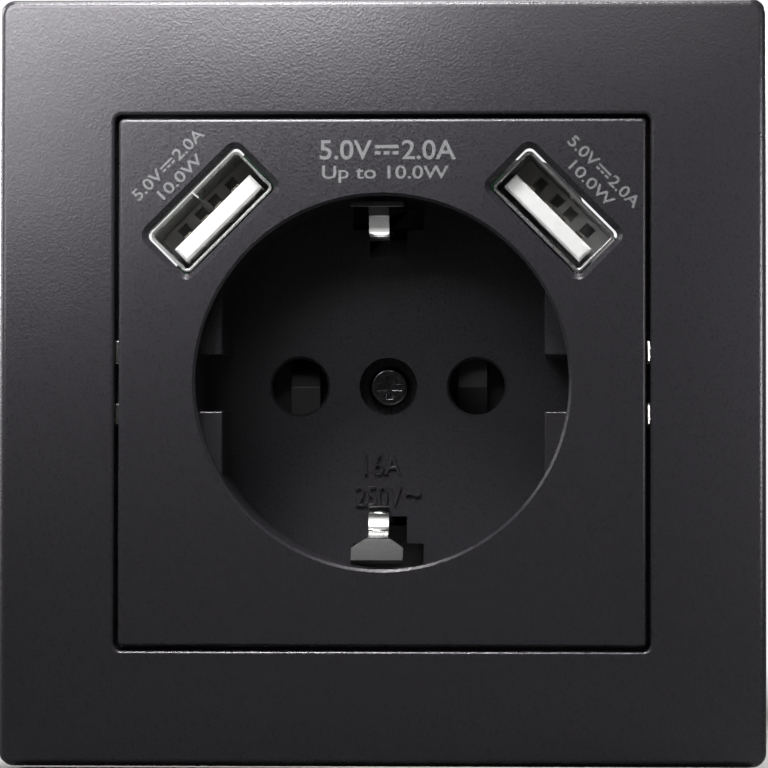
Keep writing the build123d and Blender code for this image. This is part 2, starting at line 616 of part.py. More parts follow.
def base_housing():
    """Moulded base: shutter recess and clip reliefs in front, contact and charger rooms behind."""
    body = slab(base_outline(), BASE_BACK, FLOOR_BACK)
    body -= rod(0, 0, DECK, FLOOR_BACK, RECESS_RADIUS)
    body -= charger_cavity()
    rooms = contact_room()
    body -= [rooms, mirror(rooms, about=Plane.YZ)]
    room_half = TERMINAL_WIDTH / 2 + TERMINAL_CLEARANCE
    tail_front = TERMINAL_FRONT + CONTACT_SHEET + TERMINAL_CLEARANCE
    for x in TERMINALS.values():
        body -= block(x - room_half, x + room_half, -TERMINAL_END - TERMINAL_CLEARANCE,
                      -TERMINAL_START + TERMINAL_CLEARANCE, BASE_BACK, tail_front)
        body -= block(x - WIRE_ENTRY_WIDTH / 2, x + WIRE_ENTRY_WIDTH / 2, -FAR, -TERMINAL_END,
                      WIRE_LEVEL - WIRE_ENTRY_HEIGHT / 2, WIRE_LEVEL + WIRE_ENTRY_HEIGHT / 2)
    stem_half = STEM_WIDTH / 2 + TERMINAL_CLEARANCE
    body -= block(-stem_half, stem_half, -TERMINAL_START - STEM_LENGTH - TERMINAL_CLEARANCE,
                  -TERMINAL_START + TERMINAL_CLEARANCE, tail_front, DECK)
    channel = STRIP_WIDTH / 2 + STRIP_CLEARANCE
    foot = CLIP_FOOT_RADIUS + STRIP_SHEET / 2 + STRIP_CLEARANCE
    body -= block(STRIP_SHIFT - channel, STRIP_SHIFT + channel, STRIP_RISE - foot, STRIP_RISE + foot,
                  STRIP_BACK, FLOOR_BACK)
    relief = SLOT_WIDE / 2 + CLIP_RELIEF_MARGIN
    well = rod(0, 0, FLOOR_BACK - CLIP_RELIEF_DEPTH, FLOOR_BACK, WELL_RADIUS)
    body -= well & block(-relief, relief, -FAR, FAR, -FAR, FAR)
    body -= rod(0, 0, STRIP_BACK - INSERT_NUT_LENGTH, STRIP_BACK, INSERT_NUT_RADIUS + PRESS_CLEARANCE)
    tip = STRIP_BACK - INSERT_NUT_LENGTH - SCREW_LENGTH
    body -= rod(0, 0, tip, STRIP_BACK, SCREW_RADIUS + SCREW_CLEARANCE)
    for x in (-PIN_X, PIN_X):
        body -= rod(x, 0, DECK_BACK, DECK, PIN_PASSAGE_RADIUS)
    leg = SPRING_WIRE + SPRING_LEG_CLEARANCE
    body -= rod(SPRING_RADIUS, 0, DECK - SPRING_LEG, DECK, leg)
    for sign in (-1, 1):
        screw_hole = COVER_SCREW_RADIUS + THREAD_CLEARANCE
        body -= rod(sign * COVER_SCREW_X, COVER_SCREW_Y, BASE_BACK, BASE_BACK + COVER_SCREW_LENGTH, screw_hole)
    body -= [rivet(sign, drop, PRESS_CLEARANCE) for sign in (-1, 1) for drop in RIVET_DROPS]
    link_half = LINK_COUNT * LINK_PITCH / 2
    body -= block(-link_half, link_half, LINK_Y - LINK_PIN, LINK_Y + LINK_PIN, DECK, FLOOR_BACK)
    return body + board_posts()


def board_posts():
    """Shouldered posts and corner pads that carry the port board."""
    middle = WELL_OUTSIDE + USB_BOARD_CLEARANCE + USB_BOARD_BAND / 2
    posts = []
    for angle in (USB_POST_ANGLE, 180 - USB_POST_ANGLE):
        x = middle * cos(radians(angle))
        y = middle * sin(radians(angle))
        posts.append(rod(x, y, FLOOR_BACK, USB_BOARD_BACK, USB_POST_SHOULDER))
        posts.append(rod(x, y, USB_BOARD_BACK, SHELL_BACK + USB_POST_HEAD, USB_POST_RADIUS))
    for angle in PORTS.values():
        radius = PORT_RADIUS - USB_PAD_INSET
        x = radius * cos(radians(angle))
        y = radius * sin(radians(angle))
        posts.append(rod(x, y, FLOOR_BACK, USB_BOARD_BACK, USB_POST_SHOULDER))
    return posts


def rear_cover():
    """Shallow cover with posts for the charger board and holes over the terminal screws."""
    body = slab(base_outline(), COVER_BACK, BASE_BACK)
    body = fillet(body.faces().sort_by(Axis.Z)[0].edges(), COVER_EDGE)
    tray = slab(inner_outline(), COVER_INSIDE, BASE_BACK)
    for sign in (-1, 1):
        tray -= rod(sign * COVER_SCREW_X, COVER_SCREW_Y, COVER_INSIDE, BASE_BACK,
                    COVER_HEAD_RADIUS + COVER_BOSS_WALL)
    body -= tray
    post_x = BASE_HALF - BASE_WALL - BOARD_MARGIN - POST_RADIUS
    for x in (-post_x, post_x):
        for y in (CAVITY_FLOOR + BOARD_MARGIN + POST_RADIUS, CAVITY_TOP - BASE_CORNER):
            body += rod(x, y, COVER_INSIDE, WEB_FRONT, POST_RADIUS)
    for sign in (-1, 1):
        body -= cover_screw(sign, THREAD_CLEARANCE)
    for x in TERMINALS.values():
        body -= rod(x, -TERMINAL_MIDDLE, COVER_BACK, COVER_INSIDE, TERMINAL_HEAD_RADIUS + ACCESS_CLEARANCE)
    return body


def cover_screw(sign, clearance=0.0):
    """Countersunk screw through the rear cover, or with a clearance the room that it takes."""
    x = sign * COVER_SCREW_X
    height = COVER_HEAD_HEIGHT
    shank = rod(x, COVER_SCREW_Y, COVER_BACK, BASE_BACK + COVER_SCREW_LENGTH - COVER_DEPTH,
                COVER_SCREW_RADIUS + clearance)
    head = Cone(COVER_HEAD_RADIUS + clearance, COVER_SCREW_RADIUS + clearance, height)
    screw = shank + Pos(x, COVER_SCREW_Y, COVER_BACK + height / 2) * head
    if clearance:
        return screw
    slot = block(x - FAR, x + FAR, COVER_SCREW_Y - DRIVER_SLOT / 2, COVER_SCREW_Y + DRIVER_SLOT / 2,
                 COVER_BACK, COVER_BACK + DRIVER_DEPTH)
    return screw - slot


def neutral_contact():
    """Folded spring contact for the right-hand pin, with its tail to the terminal."""
    thick = CONTACT_SHEET / 2
    front = DECK_BACK - CONTACT_PLAY
    web = (WEB_FRONT + WEB_BACK) / 2
    heel = CONTACT_HEEL / 2 + thick
    upper = [(CONTACT_MOUTH / 2 + thick, front), (CONTACT_PINCH / 2 + thick, front - CONTACT_LIP),
             (heel, web + CONTACT_HEEL_LENGTH), (heel, web)]
    lower = [(-y, z) for y, z in reversed(upper)]
    path = FilletPolyline(*upper, *lower, radius=CONTACT_BEND)
    body = extrude(Plane.YZ.offset(PIN_X) * trace(path, CONTACT_SHEET), CONTACT_WIDTH / 2, both=True)
    body += block(PIN_X - TAB_WIDTH / 2, PIN_X + TAB_WIDTH / 2, heel - CONTACT_BEND,
                  CAVITY_FLOOR + TAB_REACH, WEB_BACK, WEB_FRONT)
    tail_front = TERMINAL_FRONT + CONTACT_SHEET
    tail_start = -CONTACT_PINCH / 2 - CONTACT_SHEET
    tail_out = TERMINAL_PITCH + TAIL_WIDTH / 2
    tail_step = TAIL_WIDTH - TERMINAL_START
    body += block(PIN_X - CONTACT_WIDTH / 2, PIN_X + CONTACT_WIDTH / 2, tail_step, tail_start,
                  TERMINAL_FRONT, tail_front)
    body += block(PIN_X - CONTACT_WIDTH / 2, tail_out, -TERMINAL_START + TAIL_INSET, tail_step,
                  TERMINAL_FRONT, tail_front)
    return body + block(tail_out - TAIL_WIDTH, tail_out, -TERMINAL_END + TAIL_INSET,
                        -TERMINAL_START + TAIL_INSET, TERMINAL_FRONT, tail_front)


def terminal(x):
    """Brass block with a wire hole from below and a tapped hole from the back."""
    body = block(x - TERMINAL_WIDTH / 2, x + TERMINAL_WIDTH / 2, -TERMINAL_END, -TERMINAL_START,
                 TERMINAL_BACK, TERMINAL_FRONT)
    wire = Cylinder(WIRE_RADIUS, TERMINAL_LENGTH, rotation=(90, 0, 0))
    body -= Pos(x, -TERMINAL_MIDDLE, WIRE_LEVEL) * wire
    return body - rod(x, -TERMINAL_MIDDLE, TERMINAL_BACK, WIRE_LEVEL, TERMINAL_SCREW_RADIUS)


def earth_terminal():
    """Terminal with a stem that carries the bridge of the earth strip."""
    stem = block(-STEM_WIDTH / 2, STEM_WIDTH / 2, -TERMINAL_START - STEM_LENGTH, -TERMINAL_START,
                 TERMINAL_FRONT, STRIP_BACK)
    return terminal(TERMINALS["earth"]) + stem


def terminal_screw(x):
    """Slotted clamping screw."""
    seat = TERMINAL_BACK
    head = rod(x, -TERMINAL_MIDDLE, seat - TERMINAL_HEAD_HEIGHT, seat, TERMINAL_HEAD_RADIUS)
    slot_back = seat - TERMINAL_HEAD_HEIGHT
    head -= block(x - FAR, x + FAR, -TERMINAL_MIDDLE - DRIVER_SLOT / 2,
                  -TERMINAL_MIDDLE + DRIVER_SLOT / 2, slot_back, slot_back + DRIVER_DEPTH)
    shank = TERMINAL_SCREW_RADIUS - THREAD_CLEARANCE
    return head + rod(x, -TERMINAL_MIDDLE, seat, WIRE_LEVEL - WIRE_RADIUS, shank)


def usb_shell(angle):
    """Folded metal sleeve of a port, with its seam on the outer side."""
    outer = RectangleRounded(SHELL_HEIGHT, SHELL_WIDTH, SHELL_CORNER)
    inner = RectangleRounded(SHELL_HEIGHT - 2 * SHELL_SHEET, SHELL_WIDTH - 2 * SHELL_SHEET,
                             SHELL_CORNER - SHELL_SHEET)
    body = slab(outer - inner, SHELL_BACK, SHELL_FRONT)
    body = chamfer(front_face(body).inner_wires()[0].edges(), SHELL_LEAD)
    body -= block(0, FAR, -SHELL_SEAM / 2, SHELL_SEAM / 2, SHELL_BACK, SHELL_FRONT)
    return at_port(angle) * body


def blade(y, clearance=0.0):
    """One contact blade on the outer side of the tongue, through the heel to the board."""
    side = TONGUE_HEIGHT / 2 - TONGUE_OFFSET
    half = BLADE_WIDTH / 2 + clearance
    return block(side, side + BLADE_SHEET + clearance, y - half, y + half,
                 SHELL_BACK, TONGUE_FRONT - BLADE_DROP)


def usb_insulator(angle):
    """Moulded body: a heel that fills the shell and a tongue offset towards the plug well."""
    inside = 2 * (SHELL_SHEET + SHELL_FIT)
    heel = RectangleRounded(SHELL_HEIGHT - inside, SHELL_WIDTH - inside, SHELL_CORNER - SHELL_SHEET)
    body = slab(heel, SHELL_BACK, HEEL_FRONT)
    tongue = slab(Pos(-TONGUE_OFFSET, 0) * Rectangle(TONGUE_HEIGHT, TONGUE_WIDTH), HEEL_FRONT, TONGUE_FRONT)
    body += chamfer(front_face(tongue).edges(), TONGUE_EDGE)
    for y in BLADE_PITCHES:
        body -= block(HEEL_HOLE_OFFSET - HEEL_HOLE / 2, HEEL_HOLE_OFFSET + HEEL_HOLE / 2,
                      y - HEEL_HOLE / 2, y + HEEL_HOLE / 2, HEEL_FRONT - HEEL_HOLE_DEPTH, HEEL_FRONT)
        body -= blade(y, SHELL_FIT)
    return at_port(angle) * body


def usb_contacts(angle):
    """The four contact blades of a port."""
    return Part() + [at_port(angle) * blade(y) for y in BLADE_PITCHES]


def usb_board():
    """Arched board round the well, with a land under each port and holes for the posts and links."""
    inner = WELL_OUTSIDE + USB_BOARD_CLEARANCE
    band = Circle(inner + USB_BOARD_BAND) - Circle(inner)
    level = inner * sin(radians(USB_BOARD_END_ANGLE))
    outline = band & Pos(0, level + FAR / 2) * Rectangle(FAR, FAR)
    land = Rectangle(SHELL_HEIGHT + 2 * USB_LAND_MARGIN, SHELL_WIDTH + 2 * USB_LAND_MARGIN)
    for angle in PORTS.values():
        outline += at_port(angle) * land
    middle = inner + USB_BOARD_BAND / 2
    for angle in (USB_POST_ANGLE, 180 - USB_POST_ANGLE):
        x = middle * cos(radians(angle))
        outline -= Pos(x, middle * sin(radians(angle))) * Circle(USB_POST_RADIUS + PRESS_CLEARANCE)
    hole = LINK_PIN + 2 * PRESS_CLEARANCE
    outline -= [Pos(x, LINK_Y) * Rectangle(hole, hole) for x in link_places()]
    return slab(outline, USB_BOARD_BACK, SHELL_BACK)


def link_places():
    """The x of each link pin."""
    return [(i - (LINK_COUNT - 1) / 2) * LINK_PITCH for i in range(LINK_COUNT)]


def link_pins():
    """Square pins that join the two boards."""
    half = LINK_PIN / 2
    back = WEB_FRONT - LINK_END
    front = SHELL_BACK + LINK_END
    pins = [block(x - half, x + half, LINK_Y - half, LINK_Y + half, back, front) for x in link_places()]
    return Part() + pins


def charger_board():
    """Main board at the back of the charger cavity."""
    half = BASE_HALF - BASE_WALL - BOARD_MARGIN
    bottom = CAVITY_FLOOR + BOARD_MARGIN
    top = CAVITY_TOP - BOARD_MARGIN / 2
    corner = BASE_CORNER - BASE_WALL
    outline = Pos(0, (bottom + top) / 2) * RectangleRounded(2 * half, top - bottom, corner)
    hole = LINK_PIN + 2 * PRESS_CLEARANCE
    outline -= [Pos(x, LINK_Y) * Rectangle(hole, hole) for x in link_places()]
    return slab(outline, WEB_FRONT, BOARD_FRONT)


def transformer_core():
    """Ferrite core: a closed frame with a centre limb."""
    x = CORE_WIDTH / 2
    y = CORE_LENGTH / 2
    body = block(-x, x, CORE_Y - y, CORE_Y + y, BOARD_FRONT, BOARD_FRONT + CORE_HEIGHT)
    window = block(CORE_CENTRE_LIMB / 2, x - CORE_LIMB, -FAR, FAR, BOARD_FRONT + CORE_YOKE,
                   BOARD_FRONT + CORE_HEIGHT - CORE_YOKE)
    return body - [window, mirror(window, about=Plane.YZ)]


def transformer_coil():
    """Taped winding on the centre limb."""
    x = CORE_WIDTH / 2 - CORE_LIMB - COIL_CLEARANCE
    y = CORE_LENGTH / 2
    back = BOARD_FRONT + CORE_YOKE + COIL_CLEARANCE
    front = BOARD_FRONT + CORE_HEIGHT - CORE_YOKE - COIL_CLEARANCE
    reach = y + COIL_OVERHANG
    outline = Pos(0, CORE_Y) * RectangleRounded(2 * x, 2 * reach, COIL_OVERHANG)
    limb = CORE_CENTRE_LIMB / 2 + COIL_CLEARANCE
    hole = block(-limb, limb, CORE_Y - y - COIL_CLEARANCE, CORE_Y + y + COIL_CLEARANCE, back, front)
    return slab(outline, back, front) - hole


def capacitor(x, radius, height):
    """Electrolytic can with its rolled groove."""
    neck = radius - CAP_GROOVE
    outline = Polyline((0, 0), (radius, 0), (radius, CAP_GROOVE_RISE - CAP_GROOVE), (neck, CAP_GROOVE_RISE),
                       (radius, CAP_GROOVE_RISE + CAP_GROOVE), (radius, height - CAP_GROOVE), (neck, height),
                       (0, height), close=True)
    return Pos(x, CAP_Y, BOARD_FRONT) * revolve(Plane.XZ * make_face(outline), Axis.Z)


def board_chips():
    """Controller and rectifier packages on the charger board."""
    length, width, height = CHIP_SIZE
    chips = []
    for x in (-CHIP_X, CHIP_X):
        chip = block(x - length / 2, x + length / 2, CHIP_Y - width / 2, CHIP_Y + width / 2,
                     BOARD_FRONT, BOARD_FRONT + height)
        chips.append(chamfer(front_face(chip).edges(), height / 5))
    return Part() + chips


def fuse_resistor():
    """Fusible resistor lying on the board on its bent leads."""
    level = BOARD_FRONT + FUSE_RADIUS
    end = FUSE_LENGTH / 2
    span = end + FUSE_RADIUS
    half = [(span, 0), (span, FUSE_LEAD_RADIUS), (end, FUSE_LEAD_RADIUS), (end, FUSE_RADIUS - FUSE_EDGE),
            (end - FUSE_EDGE, FUSE_RADIUS)]
    outline = Polyline(*half, *[(-x, r) for x, r in reversed(half)], close=True)
    body = Pos(FUSE_X, FUSE_Y, level) * revolve(make_face(outline), Axis.X)
    legs = [rod(FUSE_X + sign * span, FUSE_Y, BOARD_FRONT, level + FUSE_LEAD_RADIUS, FUSE_LEAD_RADIUS)
            for sign in (-1, 1)]
    return body + legs


def box_slots():
    """Four slots for the screws of the wall box, along the two middle lines."""
    slot = SlotOverall(BOX_SLOT_LENGTH, BOX_SLOT_WIDTH)
    return [Rot(0, 0, 90 * i) * Pos(BOX_SPACING / 2, 0) * slot for i in range(4)]


def support_bracket():
    """Plated steel plate with box screw slots and two folded legs that carry the claws."""
    outline = square(FRAME_INSIDE - 2 * BRACKET_CLEARANCE, BRACKET_CORNER)
    outline -= Circle(WELL_OUTSIDE + BRACKET_OPENING_CLEARANCE)
    leg_bottom = CLAW_Y - EAR_OUTSIDE
    leg_length = LEG_TOP - leg_bottom
    leg_middle = (LEG_TOP + leg_bottom) / 2
    outline -= Pos(0, leg_middle) * Rectangle(2 * LEG_OUTSIDE, leg_length + 2 * LEG_RELIEF)
    clear = 2 * PORT_NOTCH_CLEARANCE
    notch = Rectangle(SHELL_HEIGHT + clear, SHELL_WIDTH + clear)
    for angle in PORTS.values():
        outline -= at_port(angle) * notch
    outline -= box_slots()
    hole = Circle(CLAW_SCREW_RADIUS + CLAW_SCREW_CLEARANCE)
    outline -= [Pos(sign * CLAW_SCREW_X, CLAW_Y) * hole for sign in (-1, 1)]
    body = slab(outline, 0, BRACKET_SHEET)
    body += [frame_tab(x, y) for x, y in frame_tab_places()]
    leg = bracket_leg(leg_bottom)
    return body + leg + mirror(leg, about=Plane.YZ)


def bracket_leg(leg_bottom):
    """Right-hand leg: folded back along the base, with two ears for the hinge pin of the claw."""
    bend = LEG_BEND + BRACKET_SHEET
    middle = BASE_HALF + BRACKET_SHEET / 2
    path = FilletPolyline((middle, LEG_END), (middle, BRACKET_SHEET / 2),
                          (LEG_OUTSIDE + bend, BRACKET_SHEET / 2), radius=LEG_BEND + BRACKET_SHEET / 2)
    profile = Plane.XZ.offset(-LEG_TOP) * trace(path, BRACKET_SHEET)
    leg = extrude(profile, LEG_TOP - leg_bottom)
    ear = block(BASE_HALF, LEG_OUTSIDE + EAR_REACH, EAR_INSIDE, EAR_OUTSIDE,
                HINGE_Z - EAR_HALF_HEIGHT, HINGE_Z + EAR_HALF_HEIGHT)
    leg += [Pos(0, CLAW_Y, 0) * ear, Pos(0, CLAW_Y, 0) * mirror(ear, about=Plane.XZ)]
    leg -= hinge_pin(1, PRESS_CLEARANCE)
    return leg - [rivet(1, drop, PRESS_CLEARANCE) for drop in RIVET_DROPS]


def rivet(sign, drop, clearance=0.0):
    """Rivet from a leg into the side of the base, or with a clearance its hole."""
    turn = (0, 90, 0)
    z = FLOOR_BACK - drop
    shank_end = BASE_HALF - RIVET_LENGTH - clearance
    shank = LEG_OUTSIDE - shank_end
    body = Pos(sign * (shank_end + shank / 2), RIVET_Y, z) * Cylinder(
        RIVET_RADIUS + clearance, shank, rotation=turn)
    if clearance:
        return body
    head_x = sign * (LEG_OUTSIDE + RIVET_HEAD_HEIGHT / 2)
    head = Pos(head_x, RIVET_Y, z) * Cylinder(RIVET_HEAD_RADIUS, RIVET_HEAD_HEIGHT, rotation=turn)
    return body + head


def hinge_pin(sign, clearance=0.0):
    """Pin of a claw, held in the two ears."""
    pin = Cylinder(HINGE_PIN_RADIUS + clearance, 2 * EAR_OUTSIDE, rotation=(90, 0, 0))
    return Pos(sign * HINGE_X, CLAW_Y, HINGE_Z) * pin


def claw():
    """Right-hand spreading claw: lug for its screw, hinge eye, forked arm and toothed toe."""
    path = FilletPolyline((CLAW_LUG, 0), (0, 0), (0, -CLAW_ARM),
                          (CLAW_TOE_OUT, -CLAW_ARM - CLAW_TOE_BACK), radius=CLAW_BEND)
    sheet = Plane.XZ * trace(path, CLAW_SHEET)
    body = extrude(sheet, CLAW_ARM_WIDTH / 2, both=True)
    trim = block(CLAW_EYE_RADIUS, FAR, CLAW_LUG_WIDTH / 2, FAR, -CLAW_EYE_RADIUS, FAR)
    body -= [trim, mirror(trim, about=Plane.XZ)]
    body += Cylinder(CLAW_EYE_RADIUS, CLAW_EYE_WIDTH, rotation=(90, 0, 0))
    pitch = CLAW_ARM_WIDTH / CLAW_TEETH
    end = -CLAW_ARM - CLAW_TOE_BACK - CLAW_SHEET
    for i in range(CLAW_TEETH - 1):
        y = (i + 1 - CLAW_TEETH / 2) * pitch
        notch = make_face(Polyline((y - pitch / 2, end), (y + pitch / 2, end),
                                   (y, end + CLAW_SHEET + CLAW_TOOTH_DEPTH), close=True))
        body -= extrude(Plane.YZ * notch, FAR, both=True)
    body -= block(-FAR, FAR, -CLAW_WINDOW / 2, CLAW_WINDOW / 2, -CLAW_WINDOW_END, -CLAW_WINDOW_START)
    body -= block(CLAW_SCREW_OUT - CLAW_SLOT_IN, CLAW_SCREW_OUT + CLAW_SLOT_OUT, -CLAW_SLOT_WIDTH / 2,
                  CLAW_SLOT_WIDTH / 2, -FAR, FAR)
    body -= Cylinder(HINGE_PIN_RADIUS + HINGE_CLEARANCE, CLAW_EYE_WIDTH, rotation=(90, 0, 0))
    return Pos(HINGE_X, CLAW_Y, HINGE_Z) * body


def claw_screw(sign):
    """Slotted screw that draws the lug of a claw forwards."""
    x = sign * CLAW_SCREW_X
    top = BRACKET_SHEET + CLAW_SCREW_HEAD_HEIGHT
    head = rod(x, CLAW_Y, BRACKET_SHEET, top, CLAW_SCREW_HEAD_RADIUS)
    head -= block(x - FAR, x + FAR, CLAW_Y - DRIVER_SLOT / 2, CLAW_Y + DRIVER_SLOT / 2,
                  top - DRIVER_DEPTH, top)
    return head + rod(x, CLAW_Y, BRACKET_SHEET - CLAW_SCREW_LENGTH, BRACKET_SHEET, CLAW_SCREW_RADIUS)


def all_pieces():
    """Every node of the socket by name, drawn face up."""
    right_contact = neutral_contact()
    right_claw = claw()
    pieces = {
        "cover_frame": cover_frame(),
        "centre_plate": centre_plate(),
        "centre_screw": centre_screw(),
        "screw_insert": screw_insert(),
        "safety_shutter": safety_shutter(),
        "shutter_spring": shutter_spring(),
        "earth_strip": earth_strip(),
        "base_housing": base_housing(),
        "rear_cover": rear_cover(),
        "cover_screws": Part() + [cover_screw(sign) for sign in (-1, 1)],
        "neutral_contact": right_contact,
        "line_contact": mirror(right_contact, about=Plane.YZ),
        "line_terminal": terminal(TERMINALS["line"]),
        "neutral_terminal": terminal(TERMINALS["neutral"]),
        "earth_terminal": earth_terminal(),
        "terminal_screws": Part() + [terminal_screw(x) for x in TERMINALS.values()],
        "usb_board": usb_board(),
        "link_pins": link_pins(),
        "charger_board": charger_board(),
        "transformer_core": transformer_core(),
        "transformer_coil": transformer_coil(),
        "input_capacitor": capacitor(-CAP_X, INPUT_CAP_RADIUS, INPUT_CAP_HEIGHT),
        "output_capacitor": capacitor(CAP_X, OUTPUT_CAP_RADIUS, OUTPUT_CAP_HEIGHT),
        "board_chips": board_chips(),
        "fuse_resistor": fuse_resistor(),
        "support_bracket": support_bracket(),
        "bracket_rivets": Part() + [rivet(sign, drop) for sign in (-1, 1) for drop in RIVET_DROPS],
        "claw_right": right_claw,
        "claw_left": mirror(right_claw, about=Plane.YZ),
        "claw_pins": Part() + [hinge_pin(sign) for sign in (-1, 1)],
        "claw_screws": Part() + [claw_screw(sign) for sign in (-1, 1)],
    }
    for side, angle in PORTS.items():
        pieces[f"usb_shell_{side}"] = usb_shell(angle)
        pieces[f"usb_insulator_{side}"] = usb_insulator(angle)
        pieces[f"usb_contacts_{side}"] = usb_contacts(angle)
    return pieces


os.makedirs("parts", exist_ok=True)
for name, piece in all_pieces().items():
    export_step(Rot(90, 0, 0) * piece, f"parts/{name}.step")
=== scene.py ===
# %% [markdown]
# # A wall socket with two charging ports
# The socket is an anthracite square that sits flat on a wall. Its solids already have their real
# size and place, so this lesson only dresses them: it loads the solids, sets up a camera and lamps,
# mixes a finish for every material, and then models the small things that a finish can't give,
# such as print, raised letters and screw threads. All lengths are in metres.

# %% Load the solids
import bmesh
import bpy
import json
from math import cos, pi, radians, sin
from mathutils import Matrix, Vector

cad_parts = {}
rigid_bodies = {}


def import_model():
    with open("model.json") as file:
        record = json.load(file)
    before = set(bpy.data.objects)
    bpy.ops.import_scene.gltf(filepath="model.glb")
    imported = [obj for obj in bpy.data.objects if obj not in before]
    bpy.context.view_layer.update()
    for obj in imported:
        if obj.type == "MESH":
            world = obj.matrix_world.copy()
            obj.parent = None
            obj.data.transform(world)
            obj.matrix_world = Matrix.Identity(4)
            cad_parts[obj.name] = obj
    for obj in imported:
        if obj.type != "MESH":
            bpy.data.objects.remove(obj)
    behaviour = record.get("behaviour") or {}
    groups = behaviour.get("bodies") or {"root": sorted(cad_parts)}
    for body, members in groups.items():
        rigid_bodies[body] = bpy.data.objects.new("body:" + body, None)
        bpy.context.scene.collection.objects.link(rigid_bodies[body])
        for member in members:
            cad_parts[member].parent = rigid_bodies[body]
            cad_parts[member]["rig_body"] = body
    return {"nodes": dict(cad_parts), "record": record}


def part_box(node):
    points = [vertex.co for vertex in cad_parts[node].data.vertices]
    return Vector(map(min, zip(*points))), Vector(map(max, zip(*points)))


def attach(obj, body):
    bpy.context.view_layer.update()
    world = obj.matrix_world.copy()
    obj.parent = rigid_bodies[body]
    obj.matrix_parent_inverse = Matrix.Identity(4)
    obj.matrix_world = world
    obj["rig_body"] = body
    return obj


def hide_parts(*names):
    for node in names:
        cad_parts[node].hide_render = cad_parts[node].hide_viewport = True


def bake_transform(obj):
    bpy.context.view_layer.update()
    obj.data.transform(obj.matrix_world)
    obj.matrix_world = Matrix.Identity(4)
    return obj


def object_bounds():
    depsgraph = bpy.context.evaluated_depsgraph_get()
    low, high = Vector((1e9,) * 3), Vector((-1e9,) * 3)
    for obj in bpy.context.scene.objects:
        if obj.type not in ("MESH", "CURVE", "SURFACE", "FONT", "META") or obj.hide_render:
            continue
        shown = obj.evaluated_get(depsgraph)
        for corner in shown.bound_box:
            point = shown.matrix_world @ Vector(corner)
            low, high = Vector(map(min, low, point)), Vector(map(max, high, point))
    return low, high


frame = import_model()
CAD_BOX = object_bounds()
NODES = frame["nodes"]
MM = 0.001
print("solids loaded:", len(NODES), "box:", [[round(c, 4) for c in corner] for corner in CAD_BOX])

# %% [markdown]
# The photograph is taken almost straight from the front with a long lens. A camera could be placed
# by eye, but here the edges of the frame, the mouth of the well and the pin holes at the bottom of
# it were compared: things at different depths shift against each other, and that shift gives both
# the angle and the distance. The camera looks at a point on the face, so that point is named first.

# %% Camera
AIM = Vector((0.25 * MM, -10.0 * MM, -0.18 * MM))
CAMERA_DISTANCE = 564.6 * MM
CAMERA_AZIMUTH = radians(2.38)
CAMERA_ELEVATION = radians(-1.52)
CAMERA_ROLL = radians(0.07)
SENSOR_WIDTH = 36.0  # millimetres, as the focal length is
FOCAL_LENGTH = 254.2

towards_camera = Vector((
    sin(CAMERA_AZIMUTH) * cos(CAMERA_ELEVATION),
    -cos(CAMERA_AZIMUTH) * cos(CAMERA_ELEVATION),
    sin(CAMERA_ELEVATION),
))
lens = bpy.data.cameras.new("portrait_lens")
lens.sensor_width = SENSOR_WIDTH
lens.lens = FOCAL_LENGTH
lens.clip_start = 10 * MM
camera = bpy.data.objects.new("portrait_camera", lens)
bpy.context.scene.collection.objects.link(camera)
camera.location = AIM + CAMERA_DISTANCE * towards_camera
turn = towards_camera.to_track_quat("Z", "Y").to_matrix()
camera.rotation_euler = (turn @ Matrix.Rotation(CAMERA_ROLL, 3, "Z")).to_euler()
bpy.context.scene.camera = camera
print("camera at", [round(c, 4) for c in camera.location])

# %% [markdown]
# Dark matt plastic is shown by its highlights. Four small soft lamps hang close in front of the upper
# edge: because they are near, their sheen is strong on the upper left and dies away over the width
# of the frame, as it does in the photograph. One on each side opens the shadows. A key lamp further
# off reaches the bottom of the well, and two almost overhead draw the bright lines on edges that look
# up. Two level with the wall, on the left and above, turn the rounded rim of the frame pale. Two behind
# the socket light its back for the other views. An area lamp is chosen each time, since its size sets
# how soft the light is.

# %% Lamps
def soft_lamp(name, place, aim, side, spread, power):
    """A square area lamp that looks at a point and shines in a cone of some degrees."""
    light = bpy.data.lights.new(name, "AREA")
    light.size = side
    light.spread = radians(spread)
    light.energy = power
    lamp = bpy.data.objects.new(name, light)
    bpy.context.scene.collection.objects.link(lamp)
    lamp.location = place
    lamp.rotation_euler = (Vector(place) - Vector(aim)).to_track_quat("Z", "Y").to_euler()
    return lamp


FACE_MIDDLE = (0.0, -0.010, 0.0)
BACK_MIDDLE = (0.0, 0.020, 0.0)
LEFT_RIM = (-0.040, 0.0, 0.010)
UPPER_RIM = (-0.010, 0.0, 0.040)
NEAR_SIDE = 0.04
NEAR_SPREAD = 110


def near_lamp(name, place, power):
    """A small lamp close to the socket that looks straight at the wall."""
    return soft_lamp(name, place, (place[0], 0.0, place[2]), NEAR_SIDE, NEAR_SPREAD, power)


